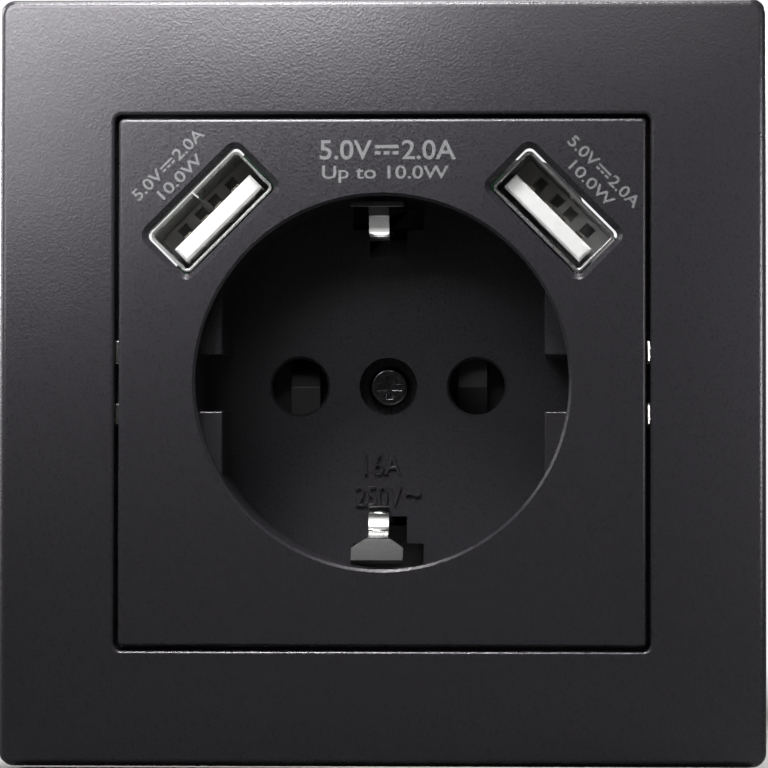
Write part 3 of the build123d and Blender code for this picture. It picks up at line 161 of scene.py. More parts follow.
near_lamp("corner_sheen", (-0.065, -0.075, 0.065), 0.031)
near_lamp("top_sheen", (-0.020, -0.075, 0.065), 0.023)
near_lamp("right_sheen", (0.020, -0.075, 0.065), 0.0033)
near_lamp("left_sheen", (-0.055, -0.075, 0.040), 0.0065)
soft_lamp("back_lamp_left", (0.16, 0.18, 0.08), BACK_MIDDLE, 0.06, 70, 0.10)
soft_lamp("back_lamp_right", (-0.15, 0.19, 0.05), BACK_MIDDLE, 0.06, 70, 0.06)
FACE_LAMPS = [
    near_lamp("left_fill", (-0.090, -0.060, 0.030), 0.020),
    near_lamp("right_fill", (0.090, -0.060, 0.010), 0.051),
    soft_lamp("key_lamp", (-0.167, -0.253, 0.271), FACE_MIDDLE, 0.08, 30, 0.017),
    soft_lamp("edge_lamp_near", (-0.030, -0.055, 0.250), FACE_MIDDLE, 0.06, 40, 0.015),
    soft_lamp("edge_lamp_far", (-0.030, -0.160, 0.250), FACE_MIDDLE, 0.06, 40, 0.039),
    soft_lamp("rim_lamp_left", (-0.160, 0.030, 0.060), LEFT_RIM, 0.12, 60, 0.05),
    soft_lamp("rim_lamp_top", (-0.010, 0.030, 0.170), UPPER_RIM, 0.12, 60, 0.03),
]

# %% [markdown]
# The world gives an even grey light from all round, like the walls of a room. It is kept low, because
# every part of it is mirrored by the plastic and would turn the black into grey.

# %% World
WORLD_LEVEL = 0.03
world = bpy.data.worlds.new("studio_walls")
world.use_nodes = True
walls = world.node_tree.nodes["Background"].inputs
walls["Color"].default_value = (1.0, 0.99, 0.98, 1.0)
walls["Strength"].default_value = WORLD_LEVEL
bpy.context.scene.world = world
bpy.context.scene.view_settings.view_transform = "Standard"
print("world level:", WORLD_LEVEL)

# %% [markdown]
# Each finish is a node material around one Principled shader. The same few moves come back in all of
# them: a noise in Object coordinates, a range, a blend of two colours and a bump. They are collected
# in one small class, so that a finish reads as a short list of what the real surface has.

# %% Finish helper
class Finish:
    """A node material with its shader and Object coordinates at hand."""

    def __init__(self, name, colour, roughness, metallic=0.0):
        self.material = bpy.data.materials.new(name)
        self.material.use_nodes = True
        self.tree = self.material.node_tree
        self.shader = self.tree.nodes["Principled BSDF"]
        self.shader.inputs["Base Color"].default_value = (*colour, 1.0)
        self.shader.inputs["Roughness"].default_value = roughness
        self.shader.inputs["Metallic"].default_value = metallic
        self.place = self.tree.nodes.new("ShaderNodeTexCoord").outputs["Object"]

    def node(self, kind, **inputs):
        """A node of one kind, with values or links for its inputs."""
        made = self.tree.nodes.new("ShaderNode" + kind)
        for name, value in inputs.items():
            self.feed(made.inputs[name.replace("_", " ")], value)
        return made

    def feed(self, socket, value):
        """Link an output to a socket, or write a plain value to it."""
        if isinstance(value, bpy.types.NodeSocket):
            self.tree.links.new(value, socket)
        else:
            socket.default_value = value

    def noise(self, scale, detail=2.0, stretch=None):
        """A cloudy pattern from 0 to 1, with scale in cells a metre."""
        place = self.place
        if stretch:
            place = self.node("Mapping", Vector=place, Scale=stretch).outputs["Vector"]
        return self.node("TexNoise", Vector=place, Scale=scale, Detail=detail).outputs["Fac"]

    def spread(self, pattern, low, high, start=0.3, end=0.7):
        """Carry the middle of a pattern to a range of values."""
        return self.node("MapRange", Value=pattern, From_Min=start, From_Max=end,
                         To_Min=low, To_Max=high).outputs["Result"]

    def blend(self, share, first, second):
        """A colour between two colours."""
        made = self.tree.nodes.new("ShaderNodeMix")
        made.data_type = "RGBA"
        self.feed(made.inputs["Factor"], share)
        for socket, colour in zip(made.inputs[6:8], (first, second)):
            self.feed(socket, colour if isinstance(colour, bpy.types.NodeSocket) else (*colour, 1.0))
        return made.outputs[2]

    def math(self, operation, *values):
        """One step of arithmetic with values or patterns."""
        made = self.tree.nodes.new("ShaderNodeMath")
        made.operation = operation
        for socket, value in zip(made.inputs, values):
            self.feed(socket, value)
        return made.outputs["Value"]

    def add(self, first, second):
        """The sum of two values, no more than one."""
        total = self.math("ADD", first, second)
        total.node.use_clamp = True
        return total

    def colour(self, value):
        self.feed(self.shader.inputs["Base Color"], value)

    def roughness(self, value):
        self.feed(self.shader.inputs["Roughness"], value)

    def behind(self, start, end):
        """A value that rises from 0 to 1 with the depth behind the wall surface."""
        depth = self.node("SeparateXYZ", Vector=self.place).outputs["Y"]
        return self.spread(depth, 0.0, 1.0, start, end)

    def relief(self, pattern, depth, under=None):
        """Bump of a real depth, on top of another bump if there is one."""
        bump = self.node("Bump", Height=pattern, Strength=1.0, Distance=depth)
        if under:
            self.feed(bump.inputs["Normal"], under)
        self.feed(self.shader.inputs["Normal"], bump.outputs["Normal"])
        return bump.outputs["Normal"]


print("finish helper ready")

# %% [markdown]
# The socket stands on a pale sheet. It is one square whose back edge is spun upwards into a quarter
# round, so that no horizon line shows behind the object. The part of it behind the socket glows white,
# but only for rays of the camera and for reflections: the backdrop is white without lighting the
# socket, and the rounded edges of the frame mirror it as a thin pale line.

# %% Floor
GLOW_START = 0.10
GLOW_FULL = 0.40
SHEET_HALF = 1.2
SHEET_ROUND = 0.5
FLOOR_LEVEL = CAD_BOX[0][2] - 0.5 * MM


def pale_floor(level, half, radius):
    """A sheet that runs level and then turns up behind the socket."""
    mesh = bmesh.new()
    bmesh.ops.create_grid(mesh, x_segments=1, y_segments=1, size=half)
    back = [e for e in mesh.edges if all(v.co.y > half / 2 for v in e.verts)]
    bmesh.ops.spin(mesh, geom=back, cent=(0, half, radius), axis=(1, 0, 0), angle=pi / 2, steps=16)
    bmesh.ops.translate(mesh, verts=mesh.verts, vec=(0, 0, level))
    data = bpy.data.meshes.new("pale_floor")
    mesh.to_mesh(data)
    mesh.free()
    sheet = bpy.data.objects.new("pale_floor", data)
    bpy.context.scene.collection.objects.link(sheet)
    paint = Finish("floor_paint", (0.8, 0.79, 0.78), 0.7)
    paint.colour(paint.blend(paint.noise(scale=9.0), (0.79, 0.78, 0.77), (0.82, 0.81, 0.8)))
    ray = paint.node("LightPath").outputs
    seen = paint.add(paint.add(ray["Is Camera Ray"], ray["Is Glossy Ray"]), ray["Is Transmission Ray"])
    depth = paint.node("SeparateXYZ", Vector=paint.place).outputs["Y"]
    glow = paint.spread(depth, 0.0, seen, GLOW_START, GLOW_FULL)
    paint.shader.inputs["Emission Color"].default_value = (1.0, 1.0, 1.0, 1.0)
    paint.feed(paint.shader.inputs["Emission Strength"], glow)
    data.materials.append(paint.material)
    return sheet


floor = pale_floor(FLOOR_LEVEL, SHEET_HALF, SHEET_ROUND)
print("floor level:", round(FLOOR_LEVEL, 4))

# %% [markdown]
# A pale floor throws light back up, and the lower half of a dark frame would mirror it as a grey haze.
# Light linking lets a lamp leave out chosen objects: the lamps for the face spare the floor, while the
# sheens and the back lamps still light it and cast the shadow of the socket.

# %% Spare the floor
def spare(name, things, lamps):
    """Take some things out of the light of some lamps."""
    spared = bpy.data.collections.new(name)
    for thing in things:
        spared.objects.link(thing)
    for entry in spared.collection_objects:
        entry.light_linking.link_state = "EXCLUDE"
    for lamp in lamps:
        lamp.light_linking.receiver_collection = spared


spare("spared_by_face_lamps", [floor], FACE_LAMPS)
print("lamps that spare the floor:", [lamp.name for lamp in FACE_LAMPS])

# %% [markdown]
# The cover is moulded in a tool whose walls were roughened by sparks, so the plastic carries a fine
# grain of shallow bumps, less than half a millimetre across. Noise that drives a bump node gives the
# grain; the same noise also shifts colour and roughness a little, because the tops of the grain are
# rubbed smoother than the hollows.

# %% Grained plastic
CLOUD_SCALE = 60.0  # cells a metre, for the slow waves under the grain
CLOUD_DEPTH = 4  # times the depth of the grain
RUBBED = 0.05  # roughness, less on the tops of the grain and more in the hollows


def grained_plastic(name, dark, light, grain, depth, roughness, gloss=0.5, tint=(1.0, 1.0, 1.0)):
    """Moulded plastic with a spark eroded grain."""
    made = Finish(name, light, roughness)
    made.shader.inputs["Specular IOR Level"].default_value = gloss
    made.shader.inputs["Specular Tint"].default_value = (*tint, 1.0)
    fine = made.noise(1.0 / grain, detail=1.0)
    cloud = made.noise(CLOUD_SCALE)
    made.colour(made.blend(made.spread(fine, 0.0, 1.0), dark, light))
    made.roughness(made.spread(fine, roughness + RUBBED, roughness - RUBBED))
    made.relief(fine, depth, under=made.relief(cloud, CLOUD_DEPTH * depth))
    return made.material


VIOLET = (1.0, 0.965, 1.01)
COVER = {"dark": (0.0220, 0.0206, 0.0243), "light": (0.0270, 0.0254, 0.0296), "grain": 0.26 * MM,
         "depth": 0.022 * MM, "roughness": 0.30, "gloss": 0.77, "tint": VIOLET}
FINISHES = {
    "frame_plastic": grained_plastic("frame_plastic_finish", **COVER),
    "plate_plastic": grained_plastic("plate_plastic_finish", **COVER),
    "base_plastic": grained_plastic("base_plastic_finish", (0.085, 0.085, 0.09), (0.105, 0.105, 0.11),
                                    0.5 * MM, 0.006 * MM, 0.5),
    "shutter_plastic": grained_plastic("shutter_plastic_finish", (0.020, 0.019, 0.022),
                                       (0.026, 0.025, 0.028), 0.6 * MM, 0.003 * MM, 0.4),
    "chip_plastic": grained_plastic("chip_plastic_finish", (0.016, 0.016, 0.018), (0.024, 0.024, 0.026),
                                    0.2 * MM, 0.004 * MM, 0.6),
}
print("plastics:", sorted(FINISHES))

# %% [markdown]
# The tongues of the ports are white, glossy and clean at the front. The body that they grow out of lies
# deep in the shell, in its shade, and this finish paints that shade in: the plastic turns darker with
# the depth.

# %% Port plastic
def port_plastic(name, pale, painted_shade_grey, start, end):
    """White plastic with painted shade that darkens it from one depth to another."""
    made = Finish(name, pale, 0.3)
    flow = made.noise(scale=1250.0, detail=3.0)
    tinted = made.blend(made.spread(flow, 0.0, 1.0), pale, [0.95 * c for c in pale])
    # painted shade: deeper in the shell the white blends to a darker colour
    made.colour(made.blend(made.behind(start, end), tinted, painted_shade_grey))
    made.roughness(made.spread(flow, 0.27, 0.37))
    made.relief(flow, 0.002 * MM)
    return made.material


FINISHES["port_plastic"] = port_plastic("port_plastic_finish", (0.84, 0.84, 0.83), (0.55, 0.55, 0.55),
                                        start=-2.0 * MM, end=1.0 * MM)
print("port plastic mixed")

# %% [markdown]
# The sheet metal is plated. Plating follows the rolling marks of the sheet, so its reflections are
# drawn out in one direction. A metal could be one grey value, but then it looks like paint; noise
# that is stretched along the sheet and drives the roughness keeps it alive.

# %% Plated metal
MARK_SHIFT = 0.08  # roughness, up or down along the rolling marks


def plated_metal(name, dark, light, roughness, run, stretch, depth):
    """Plated sheet or wire with drawn out rolling marks."""
    made = Finish(name, light, roughness, metallic=1.0)
    marks = made.noise(1.0 / run, detail=4.0, stretch=stretch)
    bloom = made.noise(scale=220.0, detail=3.0)
    made.colour(made.blend(made.spread(bloom, 0.0, 1.0), dark, light))
    made.roughness(made.spread(marks, roughness - MARK_SHIFT, roughness + MARK_SHIFT))
    made.relief(marks, depth)
    return made.material


ALONG_X = (0.12, 1.0, 1.0)
ALONG_Y = (1.0, 0.12, 1.0)
ALONG_Z = (1.0, 1.0, 0.12)
METALS = {  # dark, light, roughness, length of the marks, their direction and their depth
    "plated_steel": ((0.55, 0.55, 0.53), (0.66, 0.66, 0.63), 0.36, 0.30, ALONG_X, 0.002),
    "screw_steel": ((0.47, 0.47, 0.45), (0.60, 0.60, 0.57), 0.28, 0.25, ALONG_Y, 0.003),
    "spring_steel": ((0.44, 0.44, 0.44), (0.54, 0.54, 0.54), 0.25, 0.20, ALONG_X, 0.001),
    "shell_metal": ((0.56, 0.56, 0.56), (0.66, 0.66, 0.66), 0.32, 0.25, ALONG_Y, 0.001),
    "contact_brass": ((0.62, 0.44, 0.20), (0.74, 0.55, 0.27), 0.30, 0.30, ALONG_Z, 0.002),
    "port_contact": ((0.60, 0.56, 0.47), (0.70, 0.66, 0.56), 0.22, 0.20, ALONG_Y, 0.001),
    "blued_steel": ((0.12, 0.117, 0.126), (0.20, 0.196, 0.208), 0.16, 0.25, ALONG_Y, 0.0005),
}
for slot, (dark, light, roughness, run, stretch, depth) in METALS.items():
    FINISHES[slot] = plated_metal(slot + "_finish", dark, light, roughness,
                                  run * MM, stretch, depth * MM)
print("metals:", sorted(METALS))

# %% [markdown]
# The two earth clips are tinned brass. Every plug rubs along their noses and keeps these bright, while
# the flared ends near the rim and the strap behind the floor are made dull and dark: partly tarnish and
# partly painted shade, as they lie in the shadow of the well, and the flared ends go almost black as
# painted shade. The distance from the axis of the well and the depth say which is which. A square of
# the distance, used as a bump, bows the noses.

# %% Rubbed earth clips with painted shade
NOSE_MIDDLE = 14.4 * MM
NOSE_HALF = 1.3 * MM
NOSE_BOW = 0.12 * MM


def rubbed_and_shaded_clip(name, bright, dull, wear_and_shade_end, painted_shade_end, wear_and_shade_depth):
    """Tinned strip: bright up to a distance from the axis and a depth; beyond them dull, partly tarnish
    and partly painted shade.
    """
    made = Finish(name, bright, 0.25, metallic=1.0)
    away = made.math("ABSOLUTE", made.node("SeparateXYZ", Vector=made.place).outputs["Z"])
    # wear and painted shade: dull beyond the rubbed nose and deeper than it
    wear_and_shade = made.add(made.spread(away, 0.0, 1.0, *wear_and_shade_end), made.behind(*wear_and_shade_depth))
    scratches = made.noise(scale=2600.0, stretch=ALONG_Z)
    tarnish = made.blend(made.spread(scratches, 0.0, 1.0), dull, [1.3 * c for c in dull])
    # painted shade: past this distance the flared ends darken almost to black
    shade = made.spread(away, 0.0, 1.0, *painted_shade_end)
    made.colour(made.blend(wear_and_shade, bright, made.blend(shade, tarnish, [0.15 * c for c in dull])))
    made.roughness(made.add(made.spread(scratches, 0.13, 0.18), made.spread(wear_and_shade, 0.0, 0.25, 0.0, 1.0)))
    bow = made.spread(away, -1.0, 1.0, NOSE_MIDDLE - NOSE_HALF, NOSE_MIDDLE + NOSE_HALF)
    made.relief(made.math("MULTIPLY", bow, bow), -NOSE_BOW)
    return made.material


FINISHES["earth_metal"] = rubbed_and_shaded_clip(
    "earth_metal_finish", bright=(0.55, 0.55, 0.54), dull=(0.12, 0.12, 0.12),
    wear_and_shade_end=(15.8 * MM, 16.6 * MM), painted_shade_end=(16.8 * MM, 19.6 * MM), wear_and_shade_depth=(5.0 * MM, 8.0 * MM),
)
print("earth clips are bright round", round(NOSE_MIDDLE, 4))

# %% [markdown]
# Behind the well sits a small charger. Its board has green lacquer over copper tracks, its core is
# dull pressed ferrite, its winding is wrapped in yellow tape, and its capacitors have a printed
# sleeve. Each gets a pattern of its own scale from the same few nodes.

# %% Charger finishes
WAVE_ANGLE = 20.0  # radians that a wave texture turns by in one unit


def lacquered_board(name, lacquer, track):
    """Green lacquer, a shade lighter where it runs over a copper track."""
    made = Finish(name, lacquer, 0.35)
    cells = made.node("TexVoronoi", Vector=made.place, Scale=420.0)
    cells.distance = "MANHATTAN"
    share = made.spread(cells.outputs["Distance"], 1.0, 0.0, start=0.28, end=0.32)
    made.colour(made.blend(share, lacquer, track))
    made.relief(share, 0.02 * MM)
    return made.material


def pressed_ferrite(name, dark, light):
    """Dull pressed powder with fine pits."""
    made = Finish(name, light, 0.75)
    pits = made.noise(scale=3500.0, detail=4.0)
    made.colour(made.blend(made.spread(pits, 0.0, 1.0), dark, light))
    made.relief(pits, 0.01 * MM)
    return made.material


def wound_tape(name, colour, shade, pitch):
    """Tape with the edges of its turns."""
    made = Finish(name, colour, 0.3)
    turns = made.node("TexWave", Vector=made.place, Scale=1.0 / pitch / WAVE_ANGLE, Distortion=0.6)
    turns.bands_direction = "Y"
    made.colour(made.blend(turns.outputs["Fac"], shade, colour))
    made.relief(turns.outputs["Fac"], 0.03 * MM)
    return made.material


def shrunk_sleeve(name, colour, shade):
    """Thin plastic sleeve shrunk on a can."""
    made = Finish(name, colour, 0.28)
    creases = made.noise(scale=700.0, stretch=ALONG_Y)
    made.colour(made.blend(made.spread(creases, 0.0, 1.0), shade, colour))
    made.relief(creases, 0.02 * MM)
    return made.material


FINISHES.update({
    "board": lacquered_board("board_finish", (0.010, 0.055, 0.026), (0.020, 0.090, 0.042)),
    "ferrite": pressed_ferrite("ferrite_finish", (0.05, 0.05, 0.055), (0.085, 0.085, 0.09)),
    "coil_tape": wound_tape("coil_tape_finish", (0.78, 0.62, 0.13), (0.62, 0.47, 0.07), 1.2 * MM),
    "capacitor_can": shrunk_sleeve("capacitor_can_finish", (0.11, 0.13, 0.19), (0.075, 0.09, 0.14)),
    "fuse_coat": pressed_ferrite("fuse_coat_finish", (0.15, 0.33, 0.42), (0.22, 0.43, 0.53)),
})
print("finishes in all:", len(FINISHES))

# %% [markdown]
# Every solid has a slot in the record that says what it is made of, so one loop can dress them all.

# %% Dress the solids
for part in frame["record"]["subparts"]:
    data = NODES[part["node"]].data
    data.materials.clear()
    data.materials.append(FINISHES[part["material_slot"]])

# %% [markdown]
# A solid from a drawing has edges of no width, and these never catch the light. On the real socket
# stamped metal has a burr that was tumbled off and moulded plastic has a small radius. A Bevel
# modifier would do, but on a merged copy the bevel operator rounds just the edges that are sharp,
# and normals weighted by area keep the large faces flat.

# %% Rounded edges
MERGE_DISTANCE = 0.002 * MM
FLAT_ANGLE = radians(0.5)
SHARP_ANGLE = radians(30)
SMOOTH_ANGLE = radians(50)


def finished_piece(mesh, name, slot, body="socket"):
    """Turn a bmesh into a piece with a finish that rides on a body."""
    data = bpy.data.meshes.new(name)
    mesh.to_mesh(data)
    mesh.free()
    data.materials.append(FINISHES[slot])
    piece = bpy.data.objects.new(name, data)
    bpy.context.scene.collection.objects.link(piece)
    if body:
        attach(piece, body)
    return piece


def joined_copy(node):
    """The triangles of a solid with their corners joined."""
    mesh = bmesh.new()
    mesh.from_mesh(NODES[node].data)
    bmesh.ops.remove_doubles(mesh, verts=mesh.verts, dist=MERGE_DISTANCE)
    return mesh


def merged_copy(node):
    """The triangles of a solid joined into flat faces."""
    mesh = joined_copy(node)
    bmesh.ops.dissolve_limit(mesh, angle_limit=FLAT_ANGLE, verts=mesh.verts, edges=mesh.edges)
    return mesh


def ease_edges(mesh, width, segments=2):
    """Bevel the sharp edges of a mesh."""
    sharp = [e for e in mesh.edges if e.calc_face_angle(0.0) > SHARP_ANGLE]
    bmesh.ops.bevel(mesh, geom=sharp, offset=width, offset_type="OFFSET", affect="EDGES",
                    segments=segments, profile=0.5, material=-1)


def even_normals(piece, sharp_angle=SMOOTH_ANGLE):
    """Smooth shading that leaves large faces flat."""
    stored = piece.data.attributes.get("custom_normal")
    if stored:
        piece.data.attributes.remove(stored)
    piece.data.shade_smooth()
    piece.data.set_sharp_from_angle(angle=sharp_angle)
    weighted = piece.modifiers.new("even_normals", "WEIGHTED_NORMAL")
    weighted.keep_sharp = True


def eased_copy(node, slot, width):
    """A copy of a solid with its sharp edges rounded."""
    mesh = merged_copy(node)
    ease_edges(mesh, width)
    piece = finished_piece(mesh, node + "_eased", slot, NODES[node]["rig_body"])
    even_normals(piece)
    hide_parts(node)
    return piece


EDGE_WIDTHS = {  # in millimetres
    "earth_strip": 0.05, "support_bracket": 0.10, "claw_left": 0.10, "claw_right": 0.10,
    "base_housing": 0.12, "rear_cover": 0.10, "usb_shell_left": 0.03, "usb_shell_right": 0.03,
    "line_terminal": 0.15, "neutral_terminal": 0.15, "earth_terminal": 0.15, "terminal_screws": 0.06,
    "cover_screws": 0.05, "bracket_rivets": 0.20, "claw_pins": 0.10, "safety_shutter": 0.08,
    "usb_insulator_left": 0.05, "usb_insulator_right": 0.05, "centre_screw": 0.05,
}
SLOTS = {part["node"]: part["material_slot"] for part in frame["record"]["subparts"]}
for node, width in EDGE_WIDTHS.items():
    eased_copy(node, SLOTS[node], width * MM)
bpy.data.objects["centre_screw_eased"].data.materials[0] = FINISHES["blued_steel"]
print("pieces with rounded edges:", len(EDGE_WIDTHS))

# %% [markdown]
# Three small bits of metal shine out of the dark in the photograph: the nose of the upper earth clip,
# the tabs of the bracket in the gap on the right, and the edges of the screw. On a set, a lamp with a
# snoot would pick them out. Light linking does the same here: each of these lamps lights just one
# piece. The lower clip would burn out under the far edge lamp, so the strip is taken out of that light.

# %% Glints
GLINT_SPREAD = 40

for name, node, place, aim, side, power in (
    ("nose_glint", "earth_strip", (0.0, -0.030, -0.036), (0.0, -0.002, 0.0155), 0.03, 0.0012),
    ("tab_glint", "support_bracket", (0.030, -0.150, 0.020), (0.0278, -0.008, 0.0), 0.012, 0.0025),
    ("screw_glint", "centre_screw", (-0.016, -0.030, 0.022), (0.0, 0.008, 0.0), 0.012, 0.0009),
):
    chosen = bpy.data.collections.new(name + "_on")
    chosen.objects.link(bpy.data.objects[node + "_eased"])
    glint = soft_lamp(name, place, aim, side, GLINT_SPREAD, power)
    glint.light_linking.receiver_collection = chosen
    glint.visible_camera = False
    print(name, "lights", node)
spare("spared_by_far_edge_lamp", [floor, bpy.data.objects["earth_strip_eased"]],
      [bpy.data.objects["edge_lamp_far"]])

# %% [markdown]
# Round each port the plate slopes in to the shell, so that a plug finds its way. Both windows get the
# same even slope: the wall is cut at its depth, and every point in front of the cut is put as far from
# the window as it lies in front of the cut. A point is moved along the line from the nearest place on
# an inner rectangle, which keeps the corners round.

# %% Port window slopes
WINDOW_HALF = Vector((3.075 * MM, 6.65 * MM))
WINDOW_CORNER = 0.70 * MM
SLOPE = 0.60 * MM
SLOPE_REACH = 1.25 * MM
PORT_OUT = 25.3 * MM
PORT_ANGLES = (-45, -135)
TOUCH = 0.01 * MM
WALL_TILT = 0.01


def even_slope(mesh, angle):
    """Give one port window its slope, with the port at an angle round the well."""
    turn = Matrix.Rotation(radians(angle), 3, "Y")
    middle = turn @ Vector((PORT_OUT, 0.0, 0.0))
    start = min(v.co.y for v in mesh.verts) + SLOPE
    inner = WINDOW_HALF - Vector((WINDOW_CORNER, WINDOW_CORNER))

    def reach(vert):
        """From the inner rectangle to a vertex, in the plane of the window."""
        flat = (turn.transposed() @ vert.co - Vector((PORT_OUT, 0.0, 0.0))).xz
        near = Vector(max(-limit, min(limit, c)) for limit, c in zip(inner, flat))
        return near, flat - near

    wall = [f for f in mesh.faces if abs(f.normal.y) < WALL_TILT
            and all(abs(reach(v)[1].length - WINDOW_CORNER) < TOUCH for v in f.verts)]
    edges = {e for f in wall for e in f.edges}
    points = {v for f in wall for v in f.verts}
    bmesh.ops.bisect_plane(mesh, geom=list(points) + list(edges) + wall,
                           plane_co=(0, start, 0), plane_no=(0, 1, 0))
    moved = 0
    for vert in mesh.verts:
        near, offset = reach(vert)
        ahead = start - vert.co.y
        if ahead > TOUCH and WINDOW_CORNER / 2 < offset.length < WINDOW_CORNER + SLOPE_REACH:
            flat = near + offset * (WINDOW_CORNER + ahead) / offset.length
            vert.co = middle + turn @ Vector((flat.x, 0.0, flat.y)) + Vector((0.0, vert.co.y, 0.0))
            moved += 1
    return moved


plate_mesh = joined_copy("centre_plate")
print("points moved:", [even_slope(plate_mesh, angle) for angle in PORT_ANGLES])
plate = finished_piece(plate_mesh, "centre_plate_sloped", "plate_plastic")
even_normals(plate, SHARP_ANGLE)
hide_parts("centre_plate")

# %% [markdown]
# The shutter is closed by a torsion spring: its back leg sits in the deck and its front leg in the hub
# of the shutter. A stiff spring would be cut by the hub as the shutter turns. Here the spring is a copy
# of its solid with the corners joined, smooth shaded and tied to no body.

# %% Shutter spring
spring = finished_piece(joined_copy("shutter_spring"), "shutter_spring_wound", SLOTS["shutter_spring"],
                        body=None)
spring.data.shade_smooth()
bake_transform(spring)
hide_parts("shutter_spring")
print("spring faces:", len(spring.data.polygons))

# %% [markdown]
# The claw screws have a fine rolled thread. One ridge, three points long, is spun round the axis of
# the screw and carried on by one pitch in every turn; its turns then meet and merge into one skin.
# The ends are cut square and closed. The slotted head is taken from the solid.

# %% Threaded claw screws
THREAD_PITCH = 0.45 * MM
THREAD_DEPTH = 0.22 * MM
THREAD_STEPS = 28
SPARE_TURNS = 2  # at each end, cut off again
SHANK_RADIUS = 1.25 * MM
HEAD_EASE = 0.06 * MM
STUB = 0.06 * MM  # of the shank, left on the head
PAST_SLOT = 1.5 * MM  # behind the front of the head, deeper than its slot


def trimmed(mesh, level, keep_back):
    """Cut a mesh square to Y and close the cut."""
    cut = bmesh.ops.bisect_plane(mesh, geom=mesh.verts[:] + mesh.edges[:] + mesh.faces[:],
                                 plane_co=(0, level, 0), plane_no=(0, 1, 0),
                                 clear_inner=keep_back, clear_outer=not keep_back)
    rim = [e for e in cut["geom_cut"] if isinstance(e, bmesh.types.BMEdge)]
    bmesh.ops.edgeloop_fill(mesh, edges=rim)


def thread(axis, front, back, radius):
    """A threaded rod along Y from front to back."""
    mesh = bmesh.new()
    core = radius - THREAD_DEPTH
    start = front - SPARE_TURNS * THREAD_PITCH
    profile = ((core, 0.0), (radius, THREAD_PITCH / 2), (core, THREAD_PITCH))
    ridge = [mesh.verts.new((axis.x + r, start + y, axis.z)) for r, y in profile]
    edges = [mesh.edges.new(pair) for pair in zip(ridge, ridge[1:])]
    turns = int((back - front) / THREAD_PITCH) + 2 * SPARE_TURNS
    bmesh.ops.spin(mesh, geom=ridge + edges, cent=axis, axis=(0, 1, 0), angle=-2 * pi * turns,
                   dvec=(0, THREAD_PITCH / THREAD_STEPS, 0), steps=THREAD_STEPS * turns)
    bmesh.ops.remove_doubles(mesh, verts=mesh.verts, dist=MERGE_DISTANCE)
    trimmed(mesh, front, keep_back=True)
    trimmed(mesh, back, keep_back=False)
    bmesh.ops.recalc_face_normals(mesh, faces=mesh.faces)
    return mesh


def claw_screws():
    """Both screws: heads of the solid on threaded shanks."""
    low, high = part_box("claw_screws")
    mesh = merged_copy("claw_screws")
    head_back = min(v.co.y for v in mesh.verts if v.co.y > low.y + PAST_SLOT)
    trimmed(mesh, head_back + STUB, keep_back=False)
    ease_edges(mesh, HEAD_EASE)
    head_radius = (high.z - low.z) / 2
    for side in (low.x + head_radius, high.x - head_radius):
        axis = Vector((side, 0.0, (low.z + high.z) / 2))
        shank = thread(axis, head_back, high.y, SHANK_RADIUS)
        data = bpy.data.meshes.new("shank")
        shank.to_mesh(data)
        shank.free()
        mesh.from_mesh(data)
        bpy.data.meshes.remove(data)
    return mesh


screws = finished_piece(claw_screws(), "claw_screws_threaded", SLOTS["claw_screws"])
even_normals(screws)
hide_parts("claw_screws")
print("claw screw faces:", len(screws.data.polygons))

# %% [markdown]
# The ratings on the face are burnt in by a laser, which leaves pale grey strokes with no thickness to
# feel. Text could be an image, but real letters stay sharp at any distance. Each line is set as a
# text object, made a little bolder, turned into a mesh and fitted to its width and height, then laid
# on the face. The sign for direct current isn't in the font, so it is drawn as a bar over three dashes.

# %% Face ratings
INK_LIFT = 0.012 * MM
BOLD = 0.012  # of the size of the font


def laser_mark(name, dark, light):
    """Foamed plastic in the track of a laser: pale, rough and a little uneven."""
    made = Finish(name, light, 0.6)
    foam = made.noise(scale=5200.0, detail=3.0)
    made.colour(made.blend(made.spread(foam, 0.0, 1.0), dark, light))
    made.relief(foam, 0.004 * MM)
    return made.material


FINISHES["laser_mark"] = laser_mark("laser_mark_finish", (0.16, 0.16, 0.166), (0.24, 0.24, 0.247))


